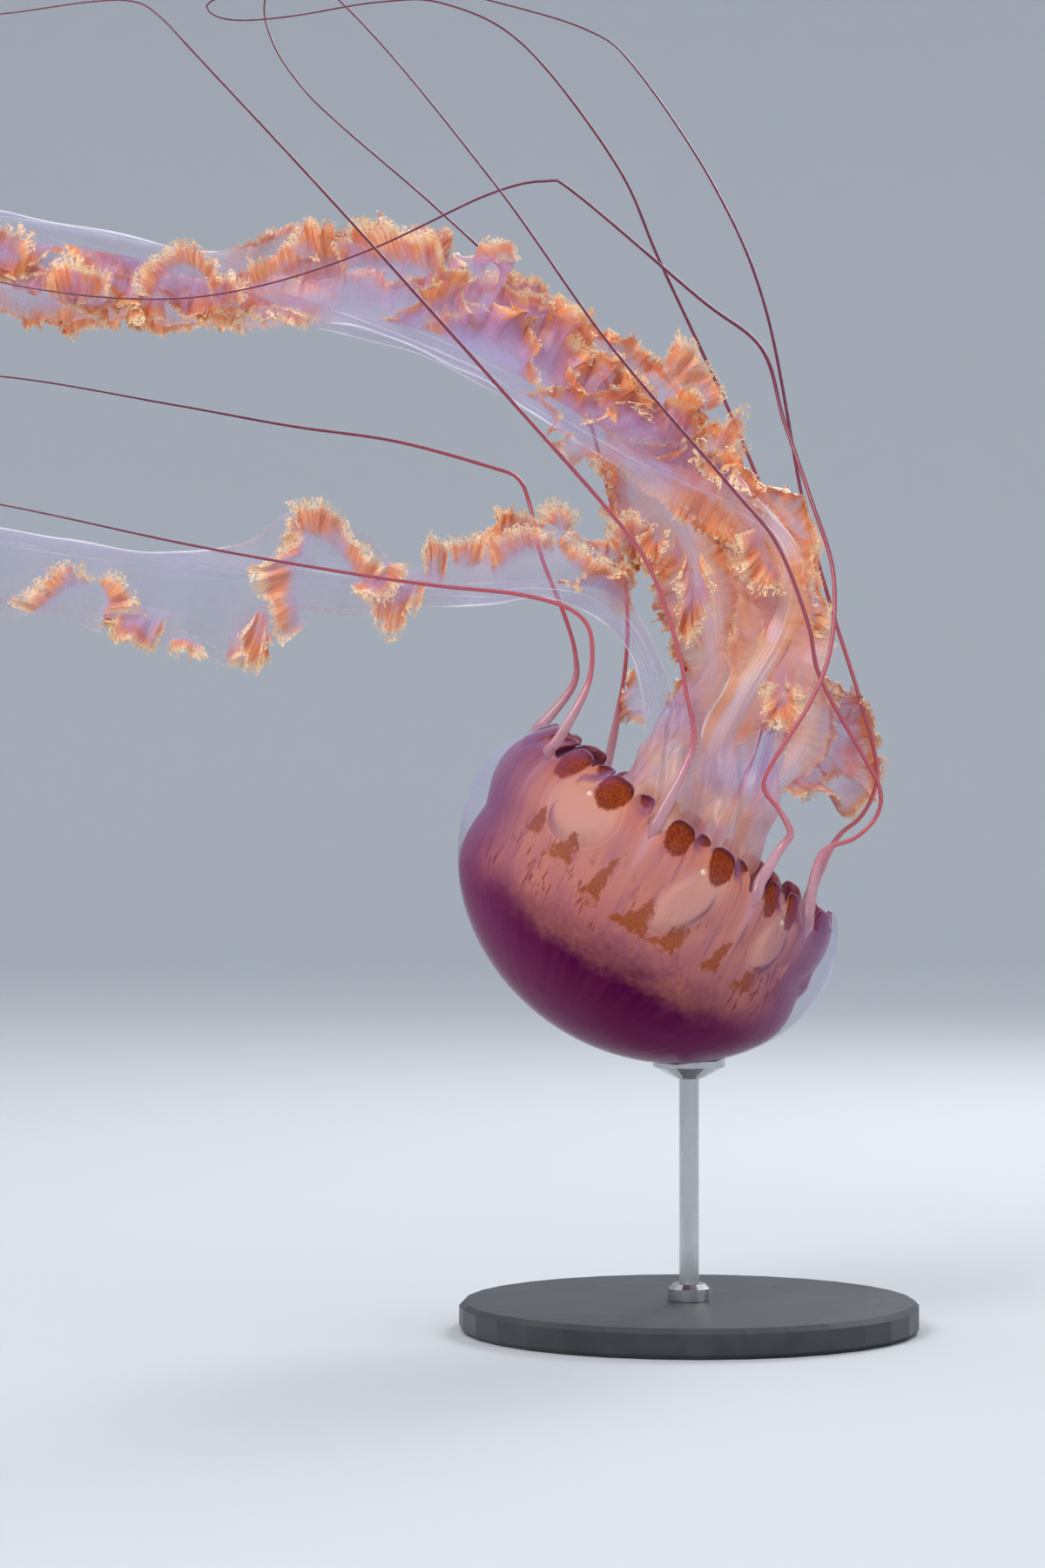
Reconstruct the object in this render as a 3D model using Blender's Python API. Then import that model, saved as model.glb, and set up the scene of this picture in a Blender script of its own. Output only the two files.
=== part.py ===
"""A young purple-striped sea nettle swimming bell down, life size, on a plain display stand.

Metres, +Z up. The origin is the centre of the underside of the stand's round base.
The bell hangs mouth up and leans to the right, the four oral arms and eight tentacles rise from
it and trail off to the left (-X). The side that faces a visitor is -Y.
"""

import math

import bmesh
import bpy
from mathutils import Matrix, Vector
from mathutils.bvhtree import BVHTree

GAP = 0.0003
TOLERANCE = 0.001

# Bell, in its own frame: apex at the origin, +Z towards the mouth, +X towards the visitor.
BELL_APEX = Vector((-0.075, 0.0, 0.181))
BELL_AXIS = Vector((0.5, -0.05, 0.865)).normalized()
BELL_ACROSS = Vector((0.866, 0.0, -0.5))
BELL_RADIUS = 0.1235
BELL_SHOULDER = 0.108
SLUMP = 0.004
SLUMP_START = 0.065
MARGIN_HEIGHT = 0.146
MARGIN_LEAN = 0.008
MARGIN_CURL = 0.0205
MARGIN_START = 0.085
WALL_AT_SHOULDER = 0.014
WALL_AT_RIM = 0.003
CAVITY_FLOOR = 0.040
CAVITY_FLOOR_RADIUS = 0.032
DOME_SEGMENTS = 40

# Rim: a cleft for each tentacle, and four lappets between each two clefts.
TENTACLE_ANGLES = {
    "front": 352, "front_right": 30, "right": 56, "rear_right": 120,
    "rear": 165, "rear_left": 210, "left": 250, "front_left": 305,
}
LAPPETS_PER_SECTOR = 4
COLUMNS_PER_LAPPET = 3
LAPPET_LENGTH = 0.009
CLEFT_DEPTH = 0.013
CLEFT_HALF_ANGLE = 3.3
RIM_BAND = 0.020

MANUBRIUM_OUTLINE = ((0.028, CAVITY_FLOOR + GAP), (0.021, 0.058), (0.020, 0.080), (0.025, 0.103))

ARM_ROOT_HEIGHT = 0.107
ARM_ROOT_RADIUS = 0.014
ARM_ROOT_WIDTH = 0.006
ARM_ROOT_RISE = 0.016
ARM_ROOT_SPREAD = 0.002
ARM_STATION = 0.0125
ARM_THICKNESS = 0.0018
ARM_CUT = 0.0016
ARM_FOLD = 0.42
ARM_LOOK = 0.004
RUFFLE_HEIGHT = 0.0120
RUFFLE_PER_WIDTH = 0.30
RUFFLE_LENGTHS = {1: 0.050, -1: 0.044}
SLOW_RUFFLE, SLOW_RUFFLE_RATE = 0.45, 0.37
EDGE_WANDER, EDGE_WANDER_RATE = 0.13, 0.61

TENTACLE_ROOT_RADIUS = 0.0044
TENTACLE_RADIUS = 0.0013
TENTACLE_TIP_RADIUS = 0.0006
TENTACLE_TAPER = 0.075
TENTACLE_TIP_START = 0.4
TENTACLE_LIFT = 0.0024
TENTACLE_RISE = 0.008
TENTACLE_LEAN_IN = 0.001
KNOT_SPACING = 0.003
END_SLANT = 0.2

BASE_RADIUS = 0.14
BASE_HEIGHT = 0.018
BASE_BEVEL = 0.003
ROD_RADIUS = 0.006
COLLAR_RADIUS = 0.013
COLLAR_HEIGHT = 0.010
COLLAR_BEVEL = 0.003
CUP_RADIUS = 0.022
CUP_DEPTH = 0.010
CUP_FLOOR_MARGIN = 0.002
CUP_LIP = 0.003
CUP_CLEARANCE = 0.0006

# Each tentacle's way from its cleft to its tip.
TENTACLE_ROUTES = {
    "front": [
        (-0.015, -0.104, 0.325), (-0.002, -0.108, 0.355), (-0.006, -0.110, 0.385), (-0.012, -0.112, 0.415),
        (-0.028, -0.113, 0.459), (-0.052, -0.113, 0.492), (-0.122, -0.110, 0.571), (-0.211, -0.100, 0.671),
        (-0.290, -0.088, 0.757), (-0.316, -0.081, 0.785), (-0.332, -0.078, 0.794), (-0.359, -0.075, 0.794),
        (-0.420, -0.070, 0.787), (-0.530, -0.060, 0.782),
    ],
    "front_right": [
        (0.040, -0.090, 0.286), (0.050, -0.092, 0.294), (0.056, -0.094, 0.303), (0.049, -0.096, 0.317),
        (0.040, -0.096, 0.330), (0.046, -0.097, 0.346), (0.068, -0.096, 0.381), (0.080, -0.090, 0.414),
        (0.082, -0.076, 0.458), (0.070, -0.062, 0.501), (0.055, -0.042, 0.550), (0.042, -0.032, 0.594),
        (0.005, -0.030, 0.624), (-0.069, -0.048, 0.684), (-0.088, -0.055, 0.691), (-0.123, -0.066, 0.681),
        (-0.190, -0.084, 0.647), (-0.255, -0.088, 0.625), (-0.315, -0.088, 0.617), (-0.390, -0.083, 0.624),
        (-0.495, -0.060, 0.650),
    ],
    "right": [
        (0.068, -0.056, 0.275), (0.077, -0.051, 0.290), (0.098, -0.046, 0.300), (0.111, -0.045, 0.314),
        (0.112, -0.047, 0.330), (0.101, -0.053, 0.350), (0.075, -0.068, 0.395), (0.067, -0.079, 0.427),
        (0.048, -0.090, 0.473), (0.021, -0.094, 0.506), (-0.051, -0.091, 0.591), (-0.121, -0.080, 0.690),
        (-0.211, -0.062, 0.798), (-0.300, -0.050, 0.862),
    ],
    "rear_right": [
        (0.080, 0.053, 0.284), (0.093, 0.052, 0.297), (0.108, 0.050, 0.311), (0.117, 0.050, 0.328),
        (0.118, 0.053, 0.348), (0.108, 0.066, 0.389), (0.093, 0.092, 0.444), (0.076, 0.100, 0.510),
        (0.053, 0.108, 0.632), (0.021, 0.112, 0.710), (-0.030, 0.110, 0.786), (-0.061, 0.108, 0.810),
        (-0.123, 0.104, 0.828), (-0.170, 0.100, 0.838), (-0.265, 0.100, 0.893),
    ],
    "rear": [
        (0.026, 0.104, 0.310), (0.045, 0.108, 0.350), (0.062, 0.110, 0.420), (0.058, 0.112, 0.492),
        (0.034, 0.112, 0.559), (-0.014, 0.106, 0.662), (-0.042, 0.100, 0.723), (-0.100, 0.093, 0.797),
        (-0.150, 0.090, 0.823), (-0.192, 0.089, 0.824), (-0.245, 0.087, 0.815), (-0.280, 0.086, 0.812),
        (-0.297, 0.084, 0.816), (-0.295, 0.081, 0.824), (-0.249, 0.075, 0.834), (-0.180, 0.070, 0.846),
    ],
    "rear_left": [
        (-0.050, 0.085, 0.350), (-0.037, 0.088, 0.403), (-0.036, 0.091, 0.450), (-0.045, 0.094, 0.507),
        (-0.068, 0.105, 0.591), (-0.093, 0.110, 0.636), (-0.154, 0.116, 0.696), (-0.216, 0.120, 0.750),
        (-0.243, 0.122, 0.777), (-0.262, 0.124, 0.808), (-0.264, 0.126, 0.840), (-0.235, 0.128, 0.905),
    ],
    "left": [
        (-0.078, 0.036, 0.375), (-0.070, 0.032, 0.393), (-0.069, 0.028, 0.412), (-0.075, 0.028, 0.434),
        (-0.090, 0.034, 0.473), (-0.097, 0.045, 0.505), (-0.104, 0.048, 0.521), (-0.120, 0.048, 0.528),
        (-0.180, 0.044, 0.544), (-0.245, 0.038, 0.553), (-0.320, 0.030, 0.566), (-0.422, 0.020, 0.582),
        (-0.538, 0.010, 0.587),
    ],
    "front_left": [
        (-0.072, -0.063, 0.368), (-0.063, -0.063, 0.390), (-0.060, -0.063, 0.413), (-0.064, -0.062, 0.428),
        (-0.078, -0.063, 0.438), (-0.107, -0.066, 0.445), (-0.151, -0.076, 0.449), (-0.209, -0.085, 0.457),
        (-0.299, -0.087, 0.473), (-0.410, -0.077, 0.497), (-0.520, -0.065, 0.515),
    ],
}
TENTACLE_LENGTHS = {
    "front": 3, "front_right": 5, "right": 4, "rear_right": 4,
    "rear": 4, "rear_left": 3, "left": 3, "front_left": 3,
}

# Each oral arm: its root's angle and twist, then x, y, z of the midrib, the widths of the leaf on
# the outer and inner side of its curve, and its twist in degrees out of the visitor's view.
ARM_ROOTS = {"front": (350, 0), "rear": (170, 0), "side": (80, 90), "lower": (250, 90)}
ARM_ROUTES = {
    "front": [
        (0.010, -0.030, 0.335, 0.014, 0.010, 0), (0.020, -0.036, 0.360, 0.020, 0.012, 10),
        (0.035, -0.042, 0.390, 0.024, 0.016, 10), (0.051, -0.045, 0.418, 0.018, 0.024, 0),
        (0.059, -0.046, 0.447, 0.016, 0.030, -10), (0.053, -0.046, 0.476, 0.022, 0.028, -15),
        (0.030, -0.045, 0.497, 0.030, 0.022, -10), (-0.010, -0.045, 0.514, 0.045, 0.014, 0),
        (-0.060, -0.045, 0.540, 0.062, 0.008, 10), (-0.125, -0.045, 0.580, 0.070, 0.006, 12),
        (-0.195, -0.045, 0.610, 0.064, 0.006, 8), (-0.245, -0.045, 0.627, 0.038, 0.018, -15),
        (-0.290, -0.045, 0.643, 0.008, 0.036, -15), (-0.360, -0.044, 0.660, 0.005, 0.042, 0),
        (-0.435, -0.040, 0.671, 0.006, 0.036, 10), (-0.510, -0.032, 0.664, 0.004, 0.012, 20),
    ],
    "rear": [
        (0.010, 0.026, 0.335, 0.012, 0.012, 0), (0.015, 0.028, 0.375, 0.016, 0.020, 0),
        (0.018, 0.026, 0.418, 0.018, 0.026, 10), (0.012, 0.023, 0.462, 0.022, 0.034, 10),
        (-0.008, 0.021, 0.500, 0.030, 0.036, 0), (-0.053, 0.020, 0.540, 0.050, 0.012, -5),
        (-0.110, 0.018, 0.574, 0.056, 0.006, -10), (-0.175, 0.015, 0.604, 0.046, 0.006, -5),
        (-0.240, 0.012, 0.621, 0.022, 0.010, 0), (-0.310, 0.012, 0.628, 0.016, 0.018, 0),
        (-0.390, 0.009, 0.633, 0.018, 0.020, 10), (-0.462, 0.004, 0.642, 0.006, 0.008, 20),
    ],
    "side": [
        (0.024, 0.004, 0.300, 0.010, 0.008, 80), (0.047, 0.032, 0.324, 0.012, 0.010, 50),
        (0.065, 0.055, 0.342, 0.016, 0.012, 20),
        (0.076, 0.068, 0.362, 0.034, 0.014, 0), (0.076, 0.072, 0.390, 0.014, 0.022, 0),
        (0.074, 0.074, 0.422, 0.011, 0.026, 0), (0.070, 0.075, 0.452, 0.012, 0.028, 0),
        (0.055, 0.075, 0.482, 0.012, 0.028, 0), (0.034, 0.075, 0.508, 0.016, 0.026, 5),
        (0.006, 0.074, 0.536, 0.034, 0.022, 8), (-0.030, 0.072, 0.564, 0.042, 0.018, 5),
        (-0.070, 0.070, 0.592, 0.036, 0.014, 0), (-0.115, 0.066, 0.618, 0.028, 0.012, -10),
        (-0.160, 0.060, 0.640, 0.008, 0.008, -20),
    ],
    "lower": [
        (-0.022, 0.000, 0.345, 0.008, 0.008, 60), (-0.018, 0.002, 0.375, 0.010, 0.008, 20),
        (-0.022, 0.002, 0.395, 0.010, 0.008, 0), (-0.030, 0.000, 0.415, 0.010, 0.008, 0),
        (-0.045, -0.005, 0.435, 0.014, 0.008, 0), (-0.066, -0.010, 0.447, 0.038, 0.008, 0),
        (-0.095, -0.016, 0.450, 0.054, 0.006, 5), (-0.130, -0.020, 0.448, 0.032, 0.008, 10),
        (-0.170, -0.022, 0.451, 0.034, 0.014, 0), (-0.205, -0.022, 0.457, 0.040, 0.026, -15),
        (-0.240, -0.022, 0.462, 0.044, 0.034, -10), (-0.275, -0.022, 0.463, 0.014, 0.056, 0),
        (-0.325, -0.020, 0.469, 0.004, 0.050, 10), (-0.380, -0.017, 0.477, 0.004, 0.046, 10),
        (-0.440, -0.012, 0.487, 0.004, 0.034, 0), (-0.509, -0.005, 0.488, 0.004, 0.012, -10),
    ],
}
ARM_LENGTHS = {"front": 5, "rear": 4, "side": 3, "lower": 4}


def clear_scene():
    for obj in list(bpy.data.objects):
        bpy.data.objects.remove(obj)


def make_material(name, colour, roughness, metallic=0.0):
    material = bpy.data.materials.new(name)
    material.use_nodes = True
    shader = material.node_tree.nodes["Principled BSDF"]
    shader.inputs["Base Color"].default_value = (*colour, 1.0)
    shader.inputs["Roughness"].default_value = roughness
    shader.inputs["Metallic"].default_value = metallic
    return material


def add_mesh(name, bm, material, frame=None):
    """Turns a bmesh into an object whose faces point outwards."""
    bmesh.ops.recalc_face_normals(bm, faces=bm.faces)
    mesh = bpy.data.meshes.new(name)
    bm.to_mesh(mesh)
    bm.free()
    mesh.materials.append(material)
    mesh.shade_smooth()
    mesh.set_sharp_from_angle(angle=math.radians(40))
    obj = bpy.data.objects.new(name, mesh)
    bpy.context.collection.objects.link(obj)
    if frame:
        obj.parent = frame
    return obj


def turned(profile, segments):
    """A solid turned about Z from a closed outline of (radius, height) points."""
    bm = bmesh.new()
    corners = [bm.verts.new((radius, 0.0, height)) for radius, height in profile]
    edges = [bm.edges.new((corners[i - 1], corners[i])) for i in range(len(corners))]
    bmesh.ops.spin(
        bm, geom=corners + edges, axis=(0, 0, 1), cent=(0, 0, 0), steps=segments, angle=math.tau, use_merge=True
    )
    bmesh.ops.remove_doubles(bm, verts=bm.verts, dist=1e-6)
    bmesh.ops.dissolve_degenerate(bm, edges=bm.edges, dist=1e-6)
    return bm


def blend(start, end, share):
    return start + (end - start) * share


def ease(share):
    share = min(max(share, 0.0), 1.0)
    return share * share * (3 - 2 * share)


# ---------------------------------------------------------------- bell


def bell_matrix():
    facing = BELL_ACROSS.cross(BELL_AXIS)
    across = BELL_AXIS.cross(facing)
    rotation = Matrix((facing, across, BELL_AXIS)).transposed().to_4x4()
    return Matrix.Translation(BELL_APEX) @ rotation


def bell_frame():
    frame = bpy.data.objects.new("bell_frame", None)
    frame.matrix_world = bell_matrix()
    bpy.context.collection.objects.link(frame)
    return frame


def bell_point(angle, radius, height):
    turn = math.radians(angle)
    return bell_matrix() @ Vector((radius * math.cos(turn), radius * math.sin(turn) + slump(height), height))


def slump(height):
    """How far a ring's centre lies across from the axis, where the rim sags to the raised side."""
    return -SLUMP * ease((height - SLUMP_START) / (MARGIN_HEIGHT - SLUMP_START))


def slumped(bm):
    for vert in bm.verts:
        vert.co.y += slump(vert.co.z)
    return bm


def outer_radius(height):
    """A half ellipse up to the shoulder, then a rim that curls in."""
    if height <= BELL_SHOULDER:
        return BELL_RADIUS * math.sqrt(1 - (1 - height / BELL_SHOULDER) ** 2)
    return BELL_RADIUS - MARGIN_CURL * ((height - BELL_SHOULDER) / (MARGIN_HEIGHT - BELL_SHOULDER)) ** 2


def inner_radius(height):
    if height <= MARGIN_START:
        share = (height - CAVITY_FLOOR) / (MARGIN_START - CAVITY_FLOOR)
        widest = outer_radius(MARGIN_START) - WALL_AT_SHOULDER
        return blend(CAVITY_FLOOR_RADIUS, widest, math.sin(share * math.pi / 2))
    share = (height - MARGIN_START) / (MARGIN_HEIGHT - MARGIN_START)
    return outer_radius(height) - blend(WALL_AT_SHOULDER, WALL_AT_RIM, ease(share))


def make_dome(material, frame):
    """The crown of the bell, with the floor of its cavity."""
    top = MARGIN_START - GAP / 2
    outside = [top * (1 - math.cos(i * math.pi / 14)) for i in range(7)] + [top]
    inside = [blend(top, CAVITY_FLOOR, i / 3) for i in range(4)]
    profile = [(outer_radius(height), height) for height in outside]
    profile += [(inner_radius(height), height) for height in inside]
    profile.append((0.0, CAVITY_FLOOR))
    return add_mesh("bell_dome", slumped(turned(profile, DOME_SEGMENTS)), material, frame)


def sorted_clefts():
    return sorted(angle % 360 for angle in TENTACLE_ANGLES.values())


def rim_height(angle):
    return MARGIN_HEIGHT - MARGIN_LEAN * math.sin(math.radians(angle))


def rim_columns():
    """Each column of the rim as its angle and how far its edge lies below the lappets' tips."""
    clefts = sorted_clefts()
    columns = []
    for first, following in zip(clefts, [*clefts[1:], clefts[0] + 360]):
        start = first + CLEFT_HALF_ANGLE
        span = following - CLEFT_HALF_ANGLE - start
        steps = LAPPETS_PER_SECTOR * COLUMNS_PER_LAPPET
        for step in range(steps + 1):
            if step in (0, steps):
                depth = CLEFT_DEPTH
            else:
                depth = LAPPET_LENGTH if step % COLUMNS_PER_LAPPET == 0 else 0.0
            columns.append((start + span * step / steps, depth))
    return columns


def make_margin(material, frame):
    """The lower half of the bell with its ring of lappets, one cleft deeper at each tentacle."""
    columns = rim_columns()
    steps = len(columns)
    start = MARGIN_START + GAP / 2
    band = MARGIN_HEIGHT - RIM_BAND
    profile = [(outer_radius(height), height) for height in (start, BELL_SHOULDER, band, MARGIN_HEIGHT)]
    profile += [(inner_radius(height), height) for height in (MARGIN_HEIGHT, band, start)]
    bm = turned(profile, steps)
    for vert in bm.verts:
        step = round(math.degrees(math.atan2(vert.co.y, vert.co.x)) % 360 * steps / 360) % steps
        angle, depth = columns[step]
        radius = math.hypot(vert.co.x, vert.co.y)
        leaning = ease((vert.co.z - BELL_SHOULDER) / (band - BELL_SHOULDER))
        height = vert.co.z + leaning * (rim_height(angle) - MARGIN_HEIGHT)
        if vert.co.z > MARGIN_HEIGHT - TOLERANCE:
            height -= depth
            surface = outer_radius if radius > outer_radius(MARGIN_HEIGHT) - WALL_AT_RIM / 2 else inner_radius
            radius = surface(MARGIN_HEIGHT - depth)
        turn = math.radians(angle)
        vert.co = (radius * math.cos(turn), radius * math.sin(turn), height)
    return add_mesh("bell_margin", slumped(bm), material, frame)


def make_manubrium(material, frame):
    """The mouth stalk that stands on the floor of the cavity."""
    profile = [(0.0, MANUBRIUM_OUTLINE[0][1]), *MANUBRIUM_OUTLINE, (0.0, MANUBRIUM_OUTLINE[-1][1])]
    return add_mesh("manubrium", slumped(turned(profile, 12)), material, frame)


# ---------------------------------------------------------------- routes


def smooth_route(rows, per_span=12):
    """Rows of numbers joined by a Catmull-Rom curve, finely read."""
    rows = [Vector(row) for row in rows]
    ends = [2 * rows[0] - rows[1], *rows, 2 * rows[-1] - rows[-2]]
    fine = []
    for before, start, end, after in zip(ends, ends[1:], ends[2:], ends[3:]):
        for i in range(per_span):
            u = i / per_span
            fine.append(
                0.5 * (2 * start + (end - before) * u + (2 * before - 5 * start + 4 * end - after) * u**2
                       + (3 * start - before - 3 * end + after) * u**3)
            )
    return [*fine, rows[-1]]


def distances(fine):
    """How far along the route each finely read row lies."""
    along = [0.0]
    for start, end in zip(fine, fine[1:]):
        along.append(along[-1] + (Vector(end[:3]) - Vector(start[:3])).length)
    return along


def read_route(fine, along, distance):
    for i in range(1, len(fine)):
        if along[i] >= distance or i == len(fine) - 1:
            share = (distance - along[i - 1]) / (along[i] - along[i - 1])
            return blend(fine[i - 1], fine[i], min(max(share, 0.0), 1.0))


# ---------------------------------------------------------------- tentacles


def tentacle_radius(distance, length):
    trunk = blend(TENTACLE_ROOT_RADIUS, TENTACLE_RADIUS, ease(distance / TENTACLE_TAPER))
    thinning = max(0.0, distance / length - TENTACLE_TIP_START) / (1 - TENTACLE_TIP_START)
    return blend(trunk, TENTACLE_TIP_RADIUS, thinning)


def make_tentacle(name, material):
    """Round tapering tubes, end to end, from just above the cleft to the tip."""
    angle = TENTACLE_ANGLES[name]
    cleft = rim_height(angle) - CLEFT_DEPTH
    edge = outer_radius(MARGIN_HEIGHT - CLEFT_DEPTH) - WALL_AT_RIM / 2
    root = bell_point(angle, edge, cleft + TENTACLE_LIFT)
    above = bell_point(angle, edge - TENTACLE_LEAN_IN, cleft + TENTACLE_RISE)
    rows = [root, above, *TENTACLE_ROUTES[name]]
    fine = smooth_route(rows)
    along = distances(fine)
    length = along[-1]
    knots = along[::6]
    cuts = [length * i / TENTACLE_LENGTHS[name] for i in range(TENTACLE_LENGTHS[name] + 1)]
    for number, (start, end) in enumerate(zip(cuts, cuts[1:]), 1):
        if number > 1:
            start += GAP / 2 + END_SLANT * tentacle_radius(start, length)
        if end < length:
            end -= GAP / 2 + END_SLANT * tentacle_radius(end, length)
        between = [knot for knot in knots if start + KNOT_SPACING < knot < end - KNOT_SPACING]
        stops = [start, *between, end]
        curve = bpy.data.curves.new(f"tentacle_{name}_{number}", "CURVE")
        curve.dimensions = "3D"
        curve.bevel_depth = 1.0
        curve.bevel_resolution = 0
        curve.use_fill_caps = True
        curve.materials.append(material)
        spline = curve.splines.new("POLY")
        spline.points.add(len(stops) - 1)
        for point, stop in zip(spline.points, stops):
            point.co = (*read_route(fine, along, stop), 1.0)
            point.radius = tentacle_radius(stop, length)
        obj = bpy.data.objects.new(curve.name, curve)
        bpy.context.collection.objects.link(obj)


# ---------------------------------------------------------------- oral arms


def arm_rows(name):
    angle, twist = ARM_ROOTS[name]
    root = bell_point(angle, ARM_ROOT_RADIUS, ARM_ROOT_HEIGHT)
    above = bell_point(angle, ARM_ROOT_RADIUS + ARM_ROOT_SPREAD, ARM_ROOT_HEIGHT + ARM_ROOT_RISE)
    width = ARM_ROOT_WIDTH
    return [(*root, width, width, twist), (*above, width, width, twist), *ARM_ROUTES[name]]


def leaf_point(fine, along, distance, across):
    """A point of the frilled leaf: across runs from -1 at the inner edge to 1 at the outer one."""
    row = read_route(fine, along, distance)
    ahead = read_route(fine, along, distance + ARM_LOOK)
    behind = read_route(fine, along, distance - ARM_LOOK)
    forward = Vector((ahead - behind)[:3]).normalized()
    flat = Vector((forward.z, 0.0, -forward.x)).normalized()
    depth = forward.cross(flat)
    twist = math.radians(row[5])
    outward = flat * math.cos(twist) + depth * math.sin(twist)
    normal = forward.cross(outward)
    side = 1 if across >= 0 else -1
    width = row[3] if side > 0 else row[4]
    wave = math.tau * distance / RUFFLE_LENGTHS[side]
    reach = width * (1 + EDGE_WANDER * abs(across) * math.sin(EDGE_WANDER_RATE * wave + side))
    height = min(RUFFLE_HEIGHT, RUFFLE_PER_WIDTH * width) * abs(across) ** 1.5
    ruffle = height * (math.sin(wave) + SLOW_RUFFLE * math.sin(SLOW_RUFFLE_RATE * wave + 2 * side))
    fold = ARM_FOLD * width * abs(across)
    return Vector(row[:3]) + outward * (side * abs(across) * reach) + normal * (ruffle + fold)


def make_arm(name, material):
    fine = smooth_route(arm_rows(name))
    along = distances(fine)
    cuts = [along[-1] * i / ARM_LENGTHS[name] for i in range(ARM_LENGTHS[name] + 1)]
    for number, (start, end) in enumerate(zip(cuts, cuts[1:]), 1):
        start += ARM_CUT / 2 if number > 1 else 0
        end -= ARM_CUT / 2 if number < ARM_LENGTHS[name] else 0
        bm = bmesh.new()
        stations = max(3, round((end - start) / ARM_STATION))
        bmesh.ops.create_grid(bm, x_segments=stations, y_segments=4, size=1.0)
        for vert in bm.verts:
            distance = blend(start, end, vert.co.x / 2 + 0.5)
            vert.co = leaf_point(fine, along, distance, vert.co.y)
        leaf = add_mesh(f"arm_{name}_{number}", bm, material)
        solid = leaf.modifiers.new("thickness", "SOLIDIFY")
        solid.thickness = ARM_THICKNESS
        solid.offset = 0.0


# ---------------------------------------------------------------- stand


def make_stand(paint, steel, dome):
    """A round base, a short rod in a collar, and a shallow cup shaped to the crown that it holds."""
    inner = BASE_RADIUS - BASE_BEVEL
    profile = [(0, 0), (inner, 0), (BASE_RADIUS, BASE_BEVEL), (BASE_RADIUS, BASE_HEIGHT - BASE_BEVEL)]
    profile += [(inner, BASE_HEIGHT), (0, BASE_HEIGHT)]
    add_mesh("stand_base", turned(profile, 32), paint)

    bpy.context.view_layer.update()
    tree = BVHTree.FromObject(dome, bpy.context.evaluated_depsgraph_get())
    into_bell = dome.matrix_world.inverted()
    upward = into_bell.to_3x3() @ Vector((0, 0, 1))

    def crown_height(x, y):
        hit = tree.ray_cast(into_bell @ Vector((x, y, BASE_HEIGHT)), upward)[0]
        return (dome.matrix_world @ hit).z

    contact = crown_height(0, 0)
    cup_floor = contact - CUP_DEPTH
    collar_foot = BASE_HEIGHT + GAP
    profile = [(ROD_RADIUS + GAP, collar_foot), (COLLAR_RADIUS, collar_foot)]
    collar_top = collar_foot + COLLAR_HEIGHT
    profile += [(COLLAR_RADIUS, collar_top - COLLAR_BEVEL), (COLLAR_RADIUS - COLLAR_BEVEL, collar_top)]
    profile.append((ROD_RADIUS + GAP, collar_top))
    add_mesh("stand_collar", turned(profile, 16), steel)
    rod_top = cup_floor - GAP
    profile = [(0, collar_foot), (ROD_RADIUS, collar_foot), (ROD_RADIUS, rod_top), (0, rod_top)]
    add_mesh("stand_rod", turned(profile, 12), steel)

    profile = [(0, cup_floor), (ROD_RADIUS + CUP_FLOOR_MARGIN, cup_floor), (CUP_RADIUS, contact - CUP_LIP)]
    profile += [(CUP_RADIUS * share, contact) for share in (1, 0.75, 0.5, 0.25, 0)]
    cup = turned(profile, 16)
    for vert in cup.verts:
        if vert.co.z > contact - TOLERANCE:
            vert.co.z = crown_height(vert.co.x, vert.co.y) - CUP_CLEARANCE
    add_mesh("stand_cup", cup, steel)


def main():
    clear_scene()
    dome_skin = make_material("bell_purple", (0.30, 0.06, 0.13), 0.25)
    margin_skin = make_material("bell_rose", (0.62, 0.28, 0.25), 0.25)
    arm_skin = make_material("arm_apricot", (0.80, 0.42, 0.25), 0.3)
    tentacle_skin = make_material("tentacle_red", (0.30, 0.04, 0.08), 0.3)
    paint = make_material("stand_paint", (0.045, 0.047, 0.052), 0.45)
    steel = make_material("stand_steel", (0.62, 0.62, 0.62), 0.25, 1.0)

    frame = bell_frame()
    dome = make_dome(dome_skin, frame)
    make_margin(margin_skin, frame)
    make_manubrium(arm_skin, frame)
    for name in TENTACLE_ROUTES:
        make_tentacle(name, tentacle_skin)
    for name in ARM_ROUTES:
        make_arm(name, arm_skin)
    make_stand(paint, steel, dome)


main()
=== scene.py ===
"""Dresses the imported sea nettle: bell, lappets, oral arms, tentacles, stand and studio.

Metres, +Z up, but for the tables said to be in millimetres. Every piece lies where the frame's solids
lie. The side that faces a visitor is -Y.
"""

import math
from functools import partial

import bmesh
import bpy
from bpy.props import FloatProperty, FloatVectorProperty, IntProperty, PointerProperty
from mathutils import Matrix, Vector, noise


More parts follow.
